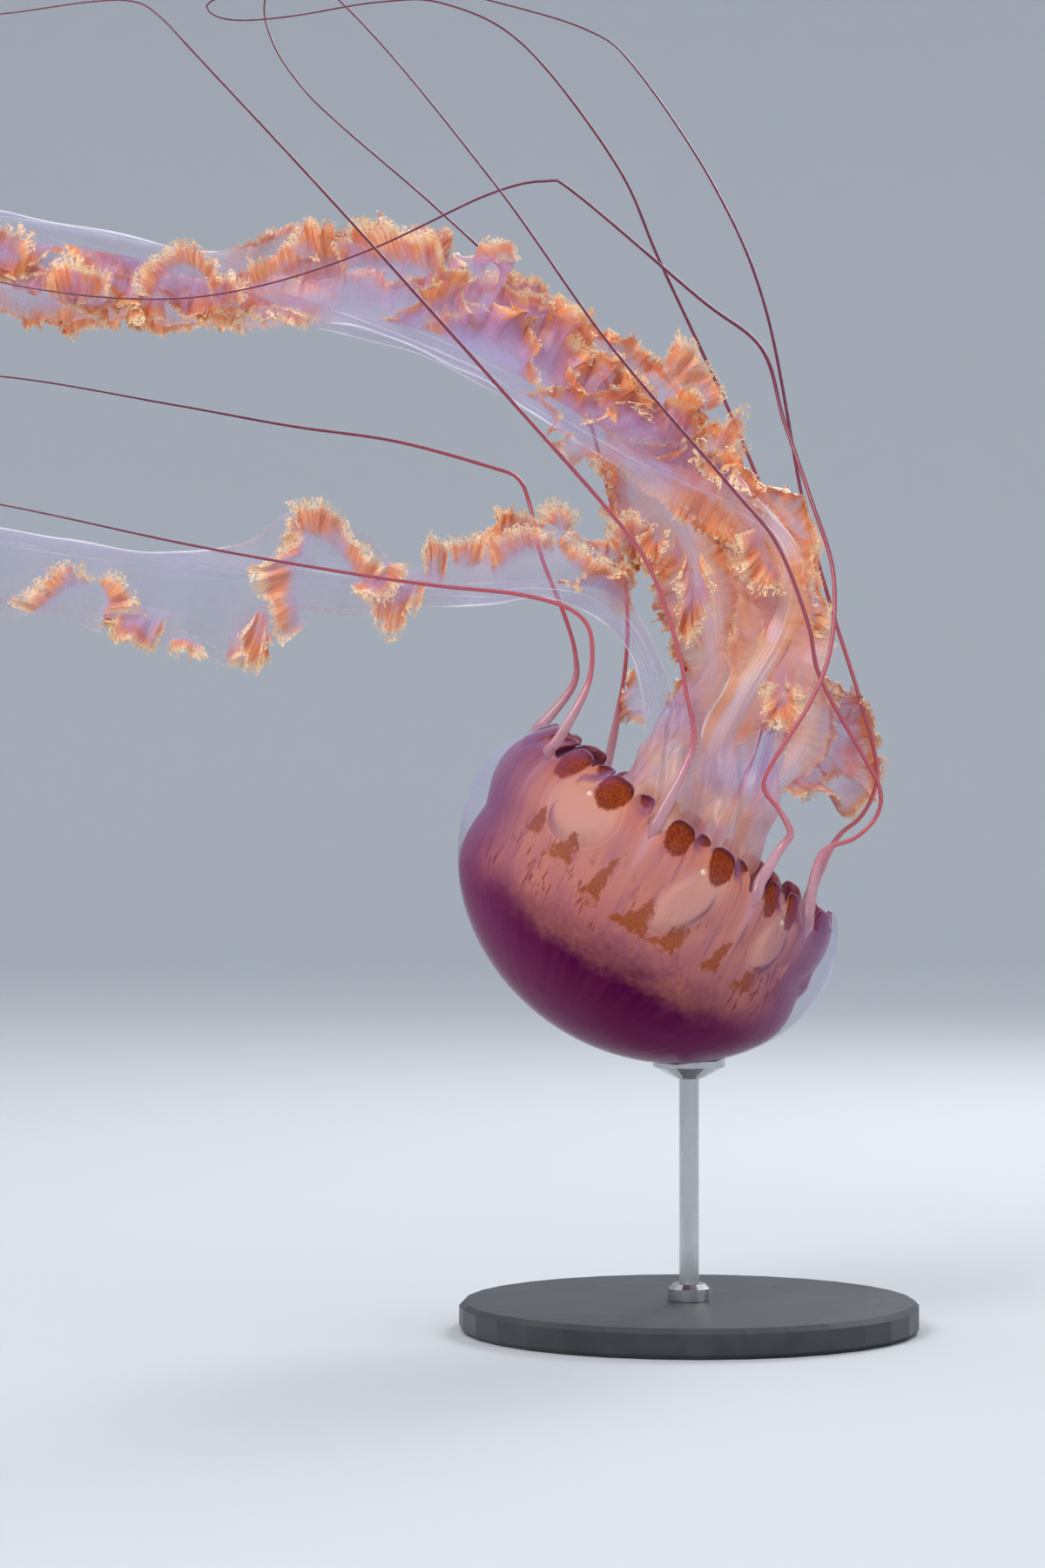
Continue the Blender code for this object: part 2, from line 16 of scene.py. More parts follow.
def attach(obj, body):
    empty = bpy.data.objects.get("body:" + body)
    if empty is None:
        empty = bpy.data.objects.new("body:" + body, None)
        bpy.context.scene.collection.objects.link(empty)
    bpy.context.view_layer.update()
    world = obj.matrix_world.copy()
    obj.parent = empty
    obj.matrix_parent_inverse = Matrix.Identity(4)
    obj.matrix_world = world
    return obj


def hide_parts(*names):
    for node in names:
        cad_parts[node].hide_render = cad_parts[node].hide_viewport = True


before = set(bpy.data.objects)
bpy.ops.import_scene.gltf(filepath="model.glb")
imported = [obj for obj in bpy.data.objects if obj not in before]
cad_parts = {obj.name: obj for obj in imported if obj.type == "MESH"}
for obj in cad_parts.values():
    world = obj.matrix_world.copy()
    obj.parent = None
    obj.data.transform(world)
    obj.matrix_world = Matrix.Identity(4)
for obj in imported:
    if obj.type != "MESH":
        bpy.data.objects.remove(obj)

bl_info = {
    "name": "Sea Nettle Display Model",
    "version": (1, 0, 0),
    "blender": (4, 5, 0),
    "location": "3D View > Sidebar > Sea Nettle",
    "description": "Models the skins, frills, tentacles and stand finish of a life-size jellyfish",
    "category": "Object",
}

# Blender's noise vectors differ from run to run unless they are given a seed.
NOISE_SEED = 7
MERGE_DISTANCE = 1e-6

# Bell, in its own frame: apex at the origin, +Z towards the mouth, +X towards the visitor.
BELL_APEX = Vector((-0.075, 0.0, 0.181))
BELL_AXIS = Vector((0.5, -0.05, 0.865)).normalized()
BELL_ACROSS = Vector((0.866, 0.0, -0.5))
SLUMP = 0.004
SLUMP_START = 0.065
MARGIN_START = 0.085
WALL_AT_SHOULDER = 0.014
WALL_AT_RIM = 0.003
CAVITY_FLOOR = 0.040
CAVITY_FLOOR_RADIUS = 0.032

# Each tentacle: the angle of its cleft round the bell, and how many solids it stands for.
TENTACLES = {
    "front": (352, 3), "front_right": (30, 5), "right": (56, 4), "rear_right": (120, 4),
    "rear": (165, 4), "rear_left": (210, 3), "left": (250, 3), "front_left": (305, 3),
}
TENTACLE_COLUMNS = 12
TENTACLE_STEP = 0.004
# How far to each side a route's direction is read.
TENTACLE_REACH = 0.002
ARM_REACH = 0.004
LOBE_REACH = 0.003
CLEFTS = sorted(angle for angle, _ in TENTACLES.values())
CLEFT_HALF_ANGLE = 3.3

# A sector's lappets end at these shares of it. Every second one turns in, and the others flare.
LAPPET_EDGES = (0.0, 0.30, 0.50, 0.80, 1.0)
LAPPET_BEND = 0.016
LAPPET_TURN_IN = 0.0085
LAPPET_FLARE = 0.0012
LAPPET_PAD = 0.0006
PAD_HEIGHT = 0.024
PAD_FADE = 0.016

# Rows of the pigmented skin over its crown, flank, margin and lining, and the two heights between the
# first three. The clear jelly has rows over its crown and its margin.
SKIN_ROWS = (26, 30, 24, 22)
SKIN_LEVELS = (0.072, 0.118)
SKIN_FIELDS = ("height", "pouch", "spot", "ridge", "groove", "wedge", "flap", "lip", "inside")
CROWN_INSET = 0.0009
JELLY_ROWS = (34, 26)
JELLY_CROWN = 0.110
JELLY_OVERHANG = 0.0005
STALK_COLUMNS = 96
STALK_ROWS = 40
STALK_TOP = 0.122

# The skirt round the arms' bases: height and radius inside the bell, then x, y, z and radius above it.
VEIL_COLUMNS = 240
VEIL_ROWS = 130
VEIL_INSIDE = [(0.070, 0.026), (0.100, 0.034), (0.130, 0.043)]
VEIL_OUTSIDE = [
    (0.006, -0.002, 0.330, 0.043), (0.017, 0.002, 0.356, 0.038), (0.028, 0.006, 0.380, 0.031),
    (0.040, 0.008, 0.402, 0.025),
]

# Each sector's pale pouch, by the cleft that the sector starts at: its share of the sector, how far
# its middle lies below the rim, half its height, and how far it slants.
POUCHES = {305: (0.60, 0.028, 0.024, 0.15), 352: (0.40, 0.036, 0.029, 0.45), 30: (0.54, 0.031, 0.023, 0.2)}
POUCH = (0.46, 0.032, 0.025, 0.1)
SPOT_RADIUS = 0.0022
SPOT_DEPTH = 0.0185

# Each brown wedge of the bell: its height below the rim and its size, both in millimetres, then its
# angle and how far it is drawn out.
WEDGES = [
    (50, 8, 288, 1), (48, 9.5, 317, 1), (52, 11.5, 331, 1), (55, 8, 345, 2.2), (60, 12, 0, 1),
    (60, 11.5, 12, 1), (55, 8, 27, 1.5), (57, 11, 41, 1), (52, 9.5, 56, 1.2), (55, 10, 73, 1),
    (53, 9, 90, 1), (56, 10.5, 106, 1.2), (53, 8.5, 123, 1), (55, 10.5, 139, 1), (52, 9.5, 155, 1.3),
    (55, 10.5, 172, 1), (53, 9, 189, 1), (56, 10, 206, 1), (52, 9.5, 222, 1.3), (55, 10, 239, 1),
    (52, 9, 256, 1), (54, 9.5, 272, 1),
]
WEDGE_REACH = 14

# Each tentacle's way from above its cleft to its tip: x, y and z in millimetres.
TENTACLE_ROUTES = {
    "front": [
        (-2, -108, 355), (-6, -110, 385), (-12, -112, 415), (-28, -113, 459), (-52, -113, 492),
        (-122, -110, 571), (-211, -100, 671), (-290, -88, 757), (-316, -81, 785), (-332, -78, 794),
        (-359, -75, 794), (-420, -70, 787), (-530, -60, 782),
    ],
    "front_right": [
        (50, -92, 294), (56, -94, 303), (49, -96, 317), (40, -96, 330), (46, -97, 346), (68, -96, 381),
        (80, -90, 414), (82, -76, 458), (70, -62, 501), (55, -42, 550), (42, -32, 594), (5, -30, 624),
        (-69, -48, 684), (-88, -55, 691), (-123, -66, 681), (-190, -84, 647), (-255, -88, 625),
        (-315, -88, 617), (-390, -83, 624), (-495, -60, 650),
    ],
    "right": [
        (77, -51, 290), (98, -46, 300), (111, -45, 314), (112, -47, 330), (101, -53, 350),
        (75, -68, 395), (67, -79, 427), (48, -90, 473), (21, -94, 506), (-51, -91, 591),
        (-121, -80, 690), (-211, -62, 798), (-300, -50, 862),
    ],
    "rear_right": [
        (93, 52, 297), (108, 50, 311), (117, 50, 328), (118, 53, 348), (108, 66, 389), (93, 92, 444),
        (76, 100, 510), (53, 108, 632), (21, 112, 710), (-30, 110, 786), (-61, 108, 810),
        (-123, 104, 828), (-170, 100, 838), (-265, 100, 893),
    ],
    "rear": [
        (45, 108, 350), (62, 110, 420), (58, 112, 492), (34, 112, 559), (-14, 106, 662),
        (-42, 100, 723), (-100, 93, 797), (-150, 90, 823), (-192, 89, 824), (-245, 87, 815),
        (-280, 86, 812), (-297, 84, 816), (-295, 81, 824), (-249, 75, 834), (-180, 70, 846),
    ],
    "rear_left": [
        (-37, 88, 403), (-36, 91, 450), (-45, 94, 507), (-68, 105, 591), (-93, 110, 636),
        (-154, 116, 696), (-216, 120, 750), (-243, 122, 777), (-262, 124, 808), (-264, 126, 840),
        (-235, 128, 905),
    ],
    "left": [
        (-70, 32, 393), (-69, 28, 412), (-75, 28, 434), (-90, 34, 473), (-97, 45, 505),
        (-104, 48, 521), (-120, 48, 528), (-180, 44, 544), (-245, 38, 553), (-320, 30, 566),
        (-422, 20, 582), (-538, 10, 587),
    ],
    "front_left": [
        (-63, -63, 390), (-60, -63, 413), (-64, -62, 428), (-78, -63, 438), (-107, -66, 445),
        (-151, -76, 449), (-209, -85, 457), (-299, -87, 473), (-410, -77, 497), (-520, -65, 515),
    ],
}

# Each oral arm: x, y and z of the midrib and the widths of the leaf on the outer and inner side of its
# curve, all in millimetres, and its twist in degrees out of the visitor's view.
ARM_ROUTES = {
    "front": [
        (10, -30, 335, 14, 10, 0), (20, -36, 360, 20, 12, 10), (35, -42, 390, 24, 16, 10),
        (51, -45, 418, 18, 24, 0), (59, -46, 447, 16, 30, -10), (53, -46, 476, 8, 28, -15),
        (30, -45, 497, 10, 22, -10), (-10, -45, 514, 30, 14, 0), (-60, -45, 540, 54, 8, 10),
        (-125, -45, 580, 70, 6, 12), (-195, -45, 610, 64, 6, 8), (-245, -45, 627, 38, 18, -15),
        (-290, -45, 643, 8, 36, -15), (-360, -44, 660, 5, 42, 0), (-435, -40, 671, 6, 36, 10),
        (-510, -32, 664, 4, 12, 20),
    ],
    "rear": [
        (10, 26, 335, 12, 12, 0), (15, 28, 375, 16, 20, 0), (18, 26, 418, 18, 26, 10),
        (12, 23, 462, 22, 34, 10), (-8, 21, 500, 30, 36, 0), (-53, 20, 540, 50, 12, -5),
        (-110, 18, 574, 56, 6, -10), (-175, 15, 604, 46, 6, -5), (-240, 12, 621, 22, 10, 0),
        (-310, 12, 628, 16, 18, 0), (-390, 9, 633, 18, 20, 10), (-462, 4, 642, 6, 8, 20),
    ],
    "side": [
        (24, 4, 300, 10, 8, 80), (47, 32, 324, 12, 10, 50), (65, 55, 342, 16, 12, 20),
        (76, 68, 362, 18, 14, 0), (76, 72, 390, 14, 22, 0), (74, 74, 422, 8, 26, 0),
        (70, 75, 452, 8, 28, 0), (55, 75, 482, 8, 28, 0), (34, 75, 508, 16, 26, 5),
        (6, 74, 536, 26, 22, 8), (-30, 72, 564, 34, 18, 5), (-70, 70, 592, 36, 14, 0),
        (-115, 66, 618, 28, 12, -10), (-160, 60, 640, 8, 8, -20),
    ],
    "lower": [
        (-22, 0, 345, 8, 8, 60), (-18, 2, 375, 10, 8, 20), (-22, 2, 395, 10, 8, 0),
        (-30, 0, 415, 10, 8, 0), (-45, -5, 435, 14, 8, 0), (-66, -10, 447, 38, 8, 0),
        (-95, -16, 450, 54, 6, 5), (-130, -20, 448, 32, 8, 10), (-170, -22, 451, 12, 14, 0),
        (-205, -22, 457, 26, 26, -15), (-240, -22, 462, 38, 34, -10), (-275, -22, 463, 14, 56, 0),
        (-325, -20, 469, 4, 50, 10), (-380, -17, 477, 4, 46, 10), (-440, -12, 487, 4, 34, 0),
        (-509, -5, 488, 4, 12, -10),
    ],
}

# The loose curtains that hang from each arm's midrib: where each starts and ends along the arm, how wide
# it is and how long its ruffles are, all in millimetres, how far it is turned from the leaf, in degrees,
# and how lacy it is.
CURTAINS = {
    "front": [
        (90, 200, 26, 34, -25, 0.4), (100, 190, 22, 22, 20, 0.85), (130, 250, 30, 40, 172, 0.3),
        (160, 260, 24, 26, 195, 0.55), (170, 260, 24, 20, 150, 0.9), (190, 340, 18, 16, 25, 1),
        (260, 400, 30, 18, -25, 1), (300, 480, 42, 22, 20, 1), (240, 320, 30, 14, -65, 1),
        (290, 370, 44, 16, -35, 1), (345, 405, 36, 26, -110, 0.8), (400, 500, 40, 20, -40, 1),
        (360, 570, 60, 24, -8, 1), (560, 680, 30, 24, 165, 1), (580, 700, 34, 17, 205, 1),
        (640, 800, 38, 16, 150, 1), (690, 800, 26, 19, 195, 1),
    ],
    "rear": [
        (60, 140, 24, 30, 200, 0.45), (150, 230, 30, 24, 190, 0.75), (200, 290, 38, 20, 165, 1),
        (140, 300, 30, 18, 30, 1), (300, 460, 34, 18, 12, 1),
    ],
    "side": [
        (120, 190, 40, 15, -20, 1), (125, 200, 34, 13, 15, 1), (125, 230, 20, 18, 170, 0.8),
        (200, 330, 14, 18, 20, 1),
    ],
    "lower": [
        (85, 128, 22, 11, 175, 1), (155, 205, 24, 18, -40, 1), (545, 610, 30, 26, -130, 0.9),
    ],
}

# The broad lobes that stand out of an arm: how far in front of it each lies, then x and z of its lip
# and of its foot, all in millimetres.
BROAD_LOBES = {
    "lower": [
        (6, [(-409, 440, -397, 435), (-395, 456, -383, 446), (-381, 468, -371, 453),
            (-355, 458, -360, 454)]),
        (9, [(-356, 458, -356, 453), (-344, 460, -352, 449), (-331, 449, -349, 442),
            (-328, 436, -352, 434)]),
        (6, [(-352, 427, -346, 434), (-347, 415, -335, 434), (-338, 409, -325, 431),
            (-325, 405, -316, 429)]),
        (4, [(-316, 410, -313, 418), (-304, 405, -303, 418), (-291, 405, -294, 414)]),
        (7, [(-275, 417, -263, 434), (-270, 405, -260, 434), (-262, 398, -257, 433),
            (-253, 405, -254, 430)]),
        (12, [(-251, 470, -234, 483), (-263, 460, -238, 466), (-261, 444, -240, 451),
            (-255, 428, -238, 437), (-244, 415, -233, 425)]),
        (6, [(-236, 502, -232, 498), (-247, 493, -233, 489), (-249, 479, -234, 480),
            (-248, 467, -237, 468)]),
        (9, [(-241, 499, -236, 484), (-222, 500, -222, 480), (-207, 489, -207, 467),
            (-190, 475, -197, 455), (-168, 460, -182, 449)]),
        (7, [(-206, 442, -199, 453), (-190, 432, -186, 455), (-178, 425, -171, 455),
            (-163, 440, -156, 451)]),
        (14, [(-202, 442, -205, 450), (-186, 437, -193, 452), (-173, 446, -184, 456),
            (-167, 462, -180, 465)]),
        (8, [(-164, 467, -161, 457), (-155, 482, -154, 456), (-144, 475, -147, 455)]),
        (12, [(-148, 478, -143, 466), (-134, 483, -135, 463), (-121, 477, -126, 466)]),
        (8, [(-125, 479, -120, 460), (-117, 486, -109, 469), (-106, 491, -101, 474),
            (-93, 489, -92, 474), (-80, 489, -82, 474)]),
        (12, [(-93, 490, -83, 487), (-92, 499, -81, 486), (-80, 504, -78, 486), (-68, 499, -76, 485),
            (-66, 488, -73, 483)]),
        (16, [(-73, 485, -80, 478), (-66, 475, -74, 467), (-56, 472, -64, 460), (-42, 464, -53, 458),
            (-38, 456, -50, 456)]),
    ],
    "front": [
        (7, [(-336, 622, -324, 622), (-327, 647, -317, 635), (-305, 656, -303, 642),
            (-285, 647, -290, 635), (-276, 630, -285, 622)]),
        (6, [(-268, 644, -264, 630), (-251, 652, -247, 635), (-234, 666, -229, 645),
            (-213, 667, -213, 647)]),
        (10, [(-215, 650, -210, 638), (-207, 662, -196, 642), (-190, 666, -179, 642),
            (-169, 661, -162, 638), (-149, 659, -145, 635)]),
        (6, [(-417, 673, -417, 652), (-404, 669, -407, 650), (-392, 659, -402, 648),
            (-388, 649, -399, 644)]),
        (10, [(-387, 642, -383, 622), (-373, 648, -370, 625), (-356, 645, -358, 623),
            (-345, 635, -348, 622)]),
        (10, [(-291, 638, -287, 622), (-278, 641, -280, 622), (-266, 634, -273, 620),
            (-263, 622, -269, 617)]),
        (-8, [(-54, 479, -46, 471), (-52, 492, -41, 478), (-43, 497, -36, 479), (-27, 496, -30, 477),
            (-20, 490, -25, 474)]),
        (-4, [(-38, 476, -26, 484), (-31, 463, -23, 478), (-21, 460, -20, 476), (-14, 471, -17, 478),
            (-12, 484, -16, 484)]),
        (-6, [(-13, 456, -6, 471), (-14, 445, -3, 462), (-9, 430, -1, 452), (-3, 414, 0, 442),
            (8, 427, 3, 450), (12, 444, 5, 460), (11, 461, 6, 471)]),
        (10, [(20, 479, 36, 484), (24, 461, 39, 471), (36, 445, 44, 461), (49, 442, 49, 458),
            (57, 453, 52, 463)]),
        (6, [(41, 392, 52, 392), (39, 376, 50, 383), (46, 366, 52, 378), (62, 368, 56, 379),
            (67, 384, 58, 384), (57, 397, 56, 390)]),
        (-30, [(-10, 605, -16, 587), (0, 597, -9, 579), (14, 585, 0, 571), (25, 571, 8, 563),
            (22, 561, 12, 557)]),
        (-30, [(24, 557, 18, 546), (32, 560, 20, 541), (30, 545, 19, 534), (33, 529, 21, 523),
            (31, 513, 25, 512)]),
        (-26, [(33, 508, 27, 500), (46, 501, 35, 492), (55, 491, 40, 486), (52, 478, 44, 479)]),
        (-22, [(55, 477, 51, 468), (69, 471, 58, 461), (77, 460, 64, 456), (75, 451, 67, 449)]),
    ],
}

ARM_FIELDS = ("lip", "rib", "frill", "root")
# The angle and twist of each arm's root, and how many solids the arm stands for.
ARM_ROOTS = {"front": (350, 0), "rear": (170, 0), "side": (80, 90), "lower": (250, 90)}
ARM_NODES = {"front": 5, "rear": 4, "side": 3, "lower": 4}
ARM_ROOT_HEIGHT = 0.107
ARM_ROOT_RADIUS = 0.014
ARM_ROOT_WIDTH = 0.006
# How flushed and milky each arm is near its root.
ARM_FLUSH = {"front": 1.0, "rear": 0.8, "side": 0.7, "lower": 0.12}
# How far along each arm its outer and inner lips stay smooth.
BARE_LENGTHS = {"front": (0.13, 0.12), "rear": (0.04, 0.04), "side": (0.115, 0.100), "lower": (0.10, 0.12)}
RUFFLE_LENGTHS = {1: 0.050, -1: 0.044}
LIP_ROWS = 12
LEAST_FRILL = 0.15
# What the frills store as their distance from the midrib: too far for its ribs to show.
OFF_RIB = 0.03
# Where the frill of an arm gathers into lobes: the side of the midrib, and the lobe's middle and half
# its length along the arm. An arm without lobes gathers in clumps all along.
LOBES = {
    "lower": [
        (1, 0.178, 0.030), (1, 0.232, 0.034), (-1, 0.300, 0.018), (-1, 0.388, 0.018),
        (-1, 0.462, 0.018), (-1, 0.600, 0.030),
    ],
}
# How deep each arm's broad lobes lie, and how far a lobe's lip stands out in front of its foot.
BROAD_LOBE_DEPTHS = {"lower": -0.022, "front": -0.045}
LOBE_LEAN = 0.006

# The paper sweep, the point that the lights face, and each light's place, size, power and colour.
FLOOR_RADIUS = 5.6
SWEEP_BEND = 2.6
WALL_HEIGHT = 6.9
LIT_POINT = Vector((-0.1, 0.0, 0.45))
LIGHTS = (
    ("key_softbox", (-1.5, -2.1, 2.3), 1.2, 44, (1.0, 0.965, 0.92)),
    ("fill_softbox", (2.2, -1.5, 1.1), 1.6, 10, (0.93, 0.96, 1.0)),
    ("rim_softbox", (1.1, 2.0, 2.0), 1.2, 36, (1.0, 0.98, 0.96)),
    ("top_softbox", (-0.3, 0.3, 2.9), 1.8, 8, (1.0, 1.0, 1.0)),
)


# ---------------------------------------------------------------- settings


def length_setting(name, description, default):
    return FloatProperty(name=name, description=description, default=default, unit="LENGTH")


def colour_setting(name, description, default):
    return FloatVectorProperty(name=name, description=description, default=default, subtype="COLOR")


class BellSettings(bpy.types.PropertyGroup):
    radius: length_setting("Radius", "Radius of the bell at its shoulder", 0.1235)
    shoulder: length_setting("Shoulder", "Height of the widest ring above the crown", 0.108)
    depth: length_setting("Depth", "Height of the rim above the crown", 0.1515)
    lean: length_setting("Rim Lean", "How much higher one side's rim is", 0.008)
    curl: length_setting("Rim Curl", "How far the rim curls in", 0.0205)
    lappet: length_setting("Lappet Length", "How far a lappet stands out of the rim", 0.009)
    cleft: length_setting("Cleft Depth", "Depth of a tentacle's cleft", 0.013)
    jelly: length_setting("Jelly Thickness", "Clear jelly over the pigment at the shoulder", 0.0085)
    columns: IntProperty(name="Columns", description="Columns of faces round the bell", default=720, min=72)
    # The crown's colour is partly the bell's own plum and partly painted shade, as if its apex lay in
    # shadow.
    crown_colour: colour_setting("Crown", "Plum of the crown", (0.092, 0.001, 0.046))
    flank_colour: colour_setting("Flank", "Rose of the flank", (0.62, 0.215, 0.135))
    pouch_colour: colour_setting("Pouches", "Peach of the pale pouches", (0.68, 0.315, 0.220))
    mauve_colour: colour_setting("Folds", "Mauve of the folds", (0.34, 0.10, 0.165))
    wedge_colour: colour_setting("Wedges", "Orange brown of the wedges", (0.29, 0.048, 0.004))
    lappet_colour: colour_setting("Lappets", "Red brown of the lappets", (0.15, 0.014, 0.001))


class ArmSettings(bpy.types.PropertyGroup):
    step: length_setting("Step", "Length of a row of faces", 0.0006)
    rows: IntProperty(name="Rows", description="Faces from lip to lip", default=48, min=8)
    ruffle: length_setting("Ruffle", "Height of the broad ruffles", 0.012)
    fold: FloatProperty(
        name="Fold", description="How steeply the leaf folds into a V", default=0.42, subtype="FACTOR"
    )
    pleat: length_setting("Pleat", "Height of the fine pleats", 0.0034)
    pleat_length: length_setting("Pleat Length", "Length of a fine pleat", 0.0125)
    crimp_length: length_setting("Crimp Length", "Length of a crimp at the lip", 0.0046)
    membrane_colour: colour_setting("Membrane", "Lilac of the clear membrane", (0.56, 0.45, 0.78))
    # The frills' own orange, darkened with painted shade for their folds.
    frill_colour: colour_setting("Frill", "Orange of the frills", (0.78, 0.215, 0.065))
    shade_colour: colour_setting("Frill Shade", "Mauve in the frills' folds", (0.62, 0.22, 0.33))
    lip_colour: colour_setting("Lip", "Cream of the lips", (0.97, 0.72, 0.45))


class TentacleSettings(bpy.types.PropertyGroup):
    root_radius: length_setting("Root Radius", "Radius where it leaves the cleft", 0.0038)
    radius: length_setting("Radius", "Radius of the tentacle", 0.00135)
    tip_radius: length_setting("Tip Radius", "Radius of its tip", 0.00055)
    taper: length_setting("Taper", "Length over which the root thins", 0.075)
    spindle: length_setting("Spindle", "How far the root runs down into the rim", 0.008)
    root_colour: colour_setting("Root", "Pale lilac pink of the root", (0.66, 0.34, 0.40))
    tip_colour: colour_setting("Tip", "Dark red of the tip", (0.15, 0.010, 0.045))


class StudioSettings(bpy.types.PropertyGroup):
    lens: FloatProperty(name="Lens", description="Focal length", default=98.113, subtype="DISTANCE_CAMERA")
    distance: length_setting("Distance", "Camera to the model", 2.6)
    height: length_setting("Height", "Height of the camera", 0.332)
    offset: length_setting("Offset", "Camera across from the rod", -0.1014)
    paper_colour: colour_setting("Paper", "Colour of the floor and backdrop", (0.60, 0.62, 0.65))


# ---------------------------------------------------------------- shader helpers


class Field:
    """A value in a node tree. A sum, difference or product of it adds a math node to the tree."""

    def __init__(self, weave, socket):
        self.weave = weave
        self.socket = socket

    def __add__(self, other):
        return self.weave.calc("ADD", self, other)

    def __sub__(self, other):
        return self.weave.calc("SUBTRACT", self, other)

    def __mul__(self, other):
        return self.weave.calc("MULTIPLY", self, other)

    def step(self, low, high, to_low=0.0, to_high=1.0):
        """A value that eases from to_low to to_high while this one goes from low to high."""
        values = {"Value": self, "From Min": low, "From Max": high, "To Min": to_low, "To Max": to_high}
        return self.weave.put("ShaderNodeMapRange", "Result", values, interpolation_type="SMOOTHSTEP")


class Weave:
    """A node tree, with short ways to add the nodes that the finishes are made of."""

    def __init__(self, tree):
        self.tree = tree

    def add(self, kind, values, **options):
        """A new node, with each input joined to a field or set to a value."""
        made = self.tree.nodes.new(kind)
        for option, value in options.items():
            setattr(made, option, value)
        for key, value in values.items():
            socket = made.inputs[key]
            if isinstance(value, Field):
                self.tree.links.new(value.socket, socket)
            elif isinstance(socket.default_value, float):
                socket.default_value = value
            else:
                socket.default_value = [*value, 1.0][: len(socket.default_value)]
        return made

    def put(self, kind, output, values, **options):
        """One output of a new node."""
        return Field(self, self.add(kind, values, **options).outputs[output])

    def fields(self, node):
        """The outputs of a node, by name."""
        return {socket.name: Field(self, socket) for socket in node.outputs}

    def calc(self, operation, first, second, clamp=False):
        return self.put("ShaderNodeMath", 0, {0: first, 1: second}, operation=operation, use_clamp=clamp)

    def mix(self, share, first, second):
        return self.put("ShaderNodeMix", 2, {0: share, 6: first, 7: second}, data_type="RGBA")

    def coats(self, colour, *coats):
        """The colour under coats laid over it in turn, each given as its share and its own colour."""
        for share, over in coats:
            colour = self.mix(share, colour, over)
        return colour

    def cloud(self, vector, scale, detail=3.0, roughness=0.5, warp=0.0):
        """Noise of one scale or, where it is given three, drawn out along the axes."""
        if isinstance(scale, tuple):
            vector = self.put("ShaderNodeMapping", "Vector", {"Vector": vector, "Scale": scale})
            scale = 1.0
        values = {"Vector": vector, "Scale": scale, "Detail": detail, "Roughness": roughness}
        return self.put("ShaderNodeTexNoise", "Fac", {**values, "Distortion": warp})

    def read(self, name, output="Fac"):
        return self.put("ShaderNodeAttribute", output, {}, attribute_name=name)


def shared_group(recipe, values):
    """The node group that a recipe fills, made the first time that it is asked for."""
    name = recipe.__name__
    if name in bpy.data.node_groups:
        return bpy.data.node_groups[name]
    group = bpy.data.node_groups.new(name, "ShaderNodeTree")
    for label in values:
        kind = "NodeSocketVector" if label == "Vector" else "NodeSocketFloat"
        group.interface.new_socket(label, in_out="INPUT", socket_type=kind)
    weave = Weave(group)
    found = recipe(weave, weave.fields(group.nodes.new("NodeGroupInput")))
    for label in found:
        group.interface.new_socket(label, in_out="OUTPUT", socket_type="NodeSocketFloat")
    results = group.nodes.new("NodeGroupOutput").inputs
    for label, field in found.items():
        group.links.new(field.socket, results[label])
    return group


def pigment_speckle(weave, given):
    """Pigment grains that gather where a field is high and fray at its edge."""
    fine = weave.cloud(given["Vector"], given["Grain"], 2.0, 0.6)
    broad = weave.cloud(given["Vector"], given["Grain"] * 0.18, 3.0, 0.6)
    loose = (fine * 0.45 + broad * 0.55 - 0.5) * given["Fray"]
    return {"Mask": (given["Field"] + loose).step(0.0, 0.14), "Grains": fine.step(0.35, 0.68)}


def moist_surface(weave, given):
    """The slightly uneven gloss of wet flesh: a roughness and a height."""
    wide = weave.cloud(given["Vector"], given["Scale"] * 0.3, 2.0)
    fine = weave.cloud(given["Vector"], given["Scale"], 4.0, 0.6)
    rough = weave.calc("MAXIMUM", (wide - 0.5) * 0.25 + given["Gloss"], 0.05)
    return {"Roughness": rough, "Height": fine * 0.4 + wide * 0.6}


def finish_wear(weave, given):
    """Fine grain and handling marks of a stand's finish."""
    grain = weave.cloud(given["Vector"], given["Grain"], 2.0)
    marks = weave.cloud(given["Vector"], 26.0, 6.0, 0.65, 0.6)
    rough = (marks - 0.5) * 0.3 + given["Roughness"]
    return {"Shade": marks.step(0.35, 0.75), "Roughness": rough, "Height": grain}


class Finish(Weave):
    """A material's nodes. What doesn't vary over it is set on its Principled shader's own sockets."""

    def __init__(self, name, **fixed):
        self.material = bpy.data.materials.new(name)
        self.material.use_nodes = True
        super().__init__(self.material.node_tree)
        self.shader = self.tree.nodes["Principled BSDF"]
        for key, value in fixed.items():
            self.shader.inputs[key.replace("_", " ")].default_value = value
        self.here = self.put("ShaderNodeTexCoord", "Object", {})

    def join(self, **fields):
        """Joins each field to the shader's input of that name."""
        for key, field in fields.items():
            self.tree.links.new(field.socket, self.shader.inputs[key.replace("_", " ")])

    def use(self, recipe, **values):
        """The outputs, by name, of a shared group of nodes."""
        values["Vector"] = self.here
        return self.fields(self.add("ShaderNodeGroup", values, node_tree=shared_group(recipe, values)))

    def bump(self, height, strength, distance):
        values = {"Height": height, "Strength": strength, "Distance": distance}
        self.join(Normal=self.put("ShaderNodeBump", "Normal", values))

    def moisten(self, scale, gloss, strength, distance, relief=None):
        """Joins the uneven gloss and the fine relief of wet flesh, and hands over the material."""
        moist = self.use(moist_surface, Scale=scale, Gloss=gloss)
        self.join(Roughness=moist["Roughness"])
        self.bump(relief + moist["Height"] if relief else moist["Height"], strength, distance)
        return self.material


# ---------------------------------------------------------------- materials


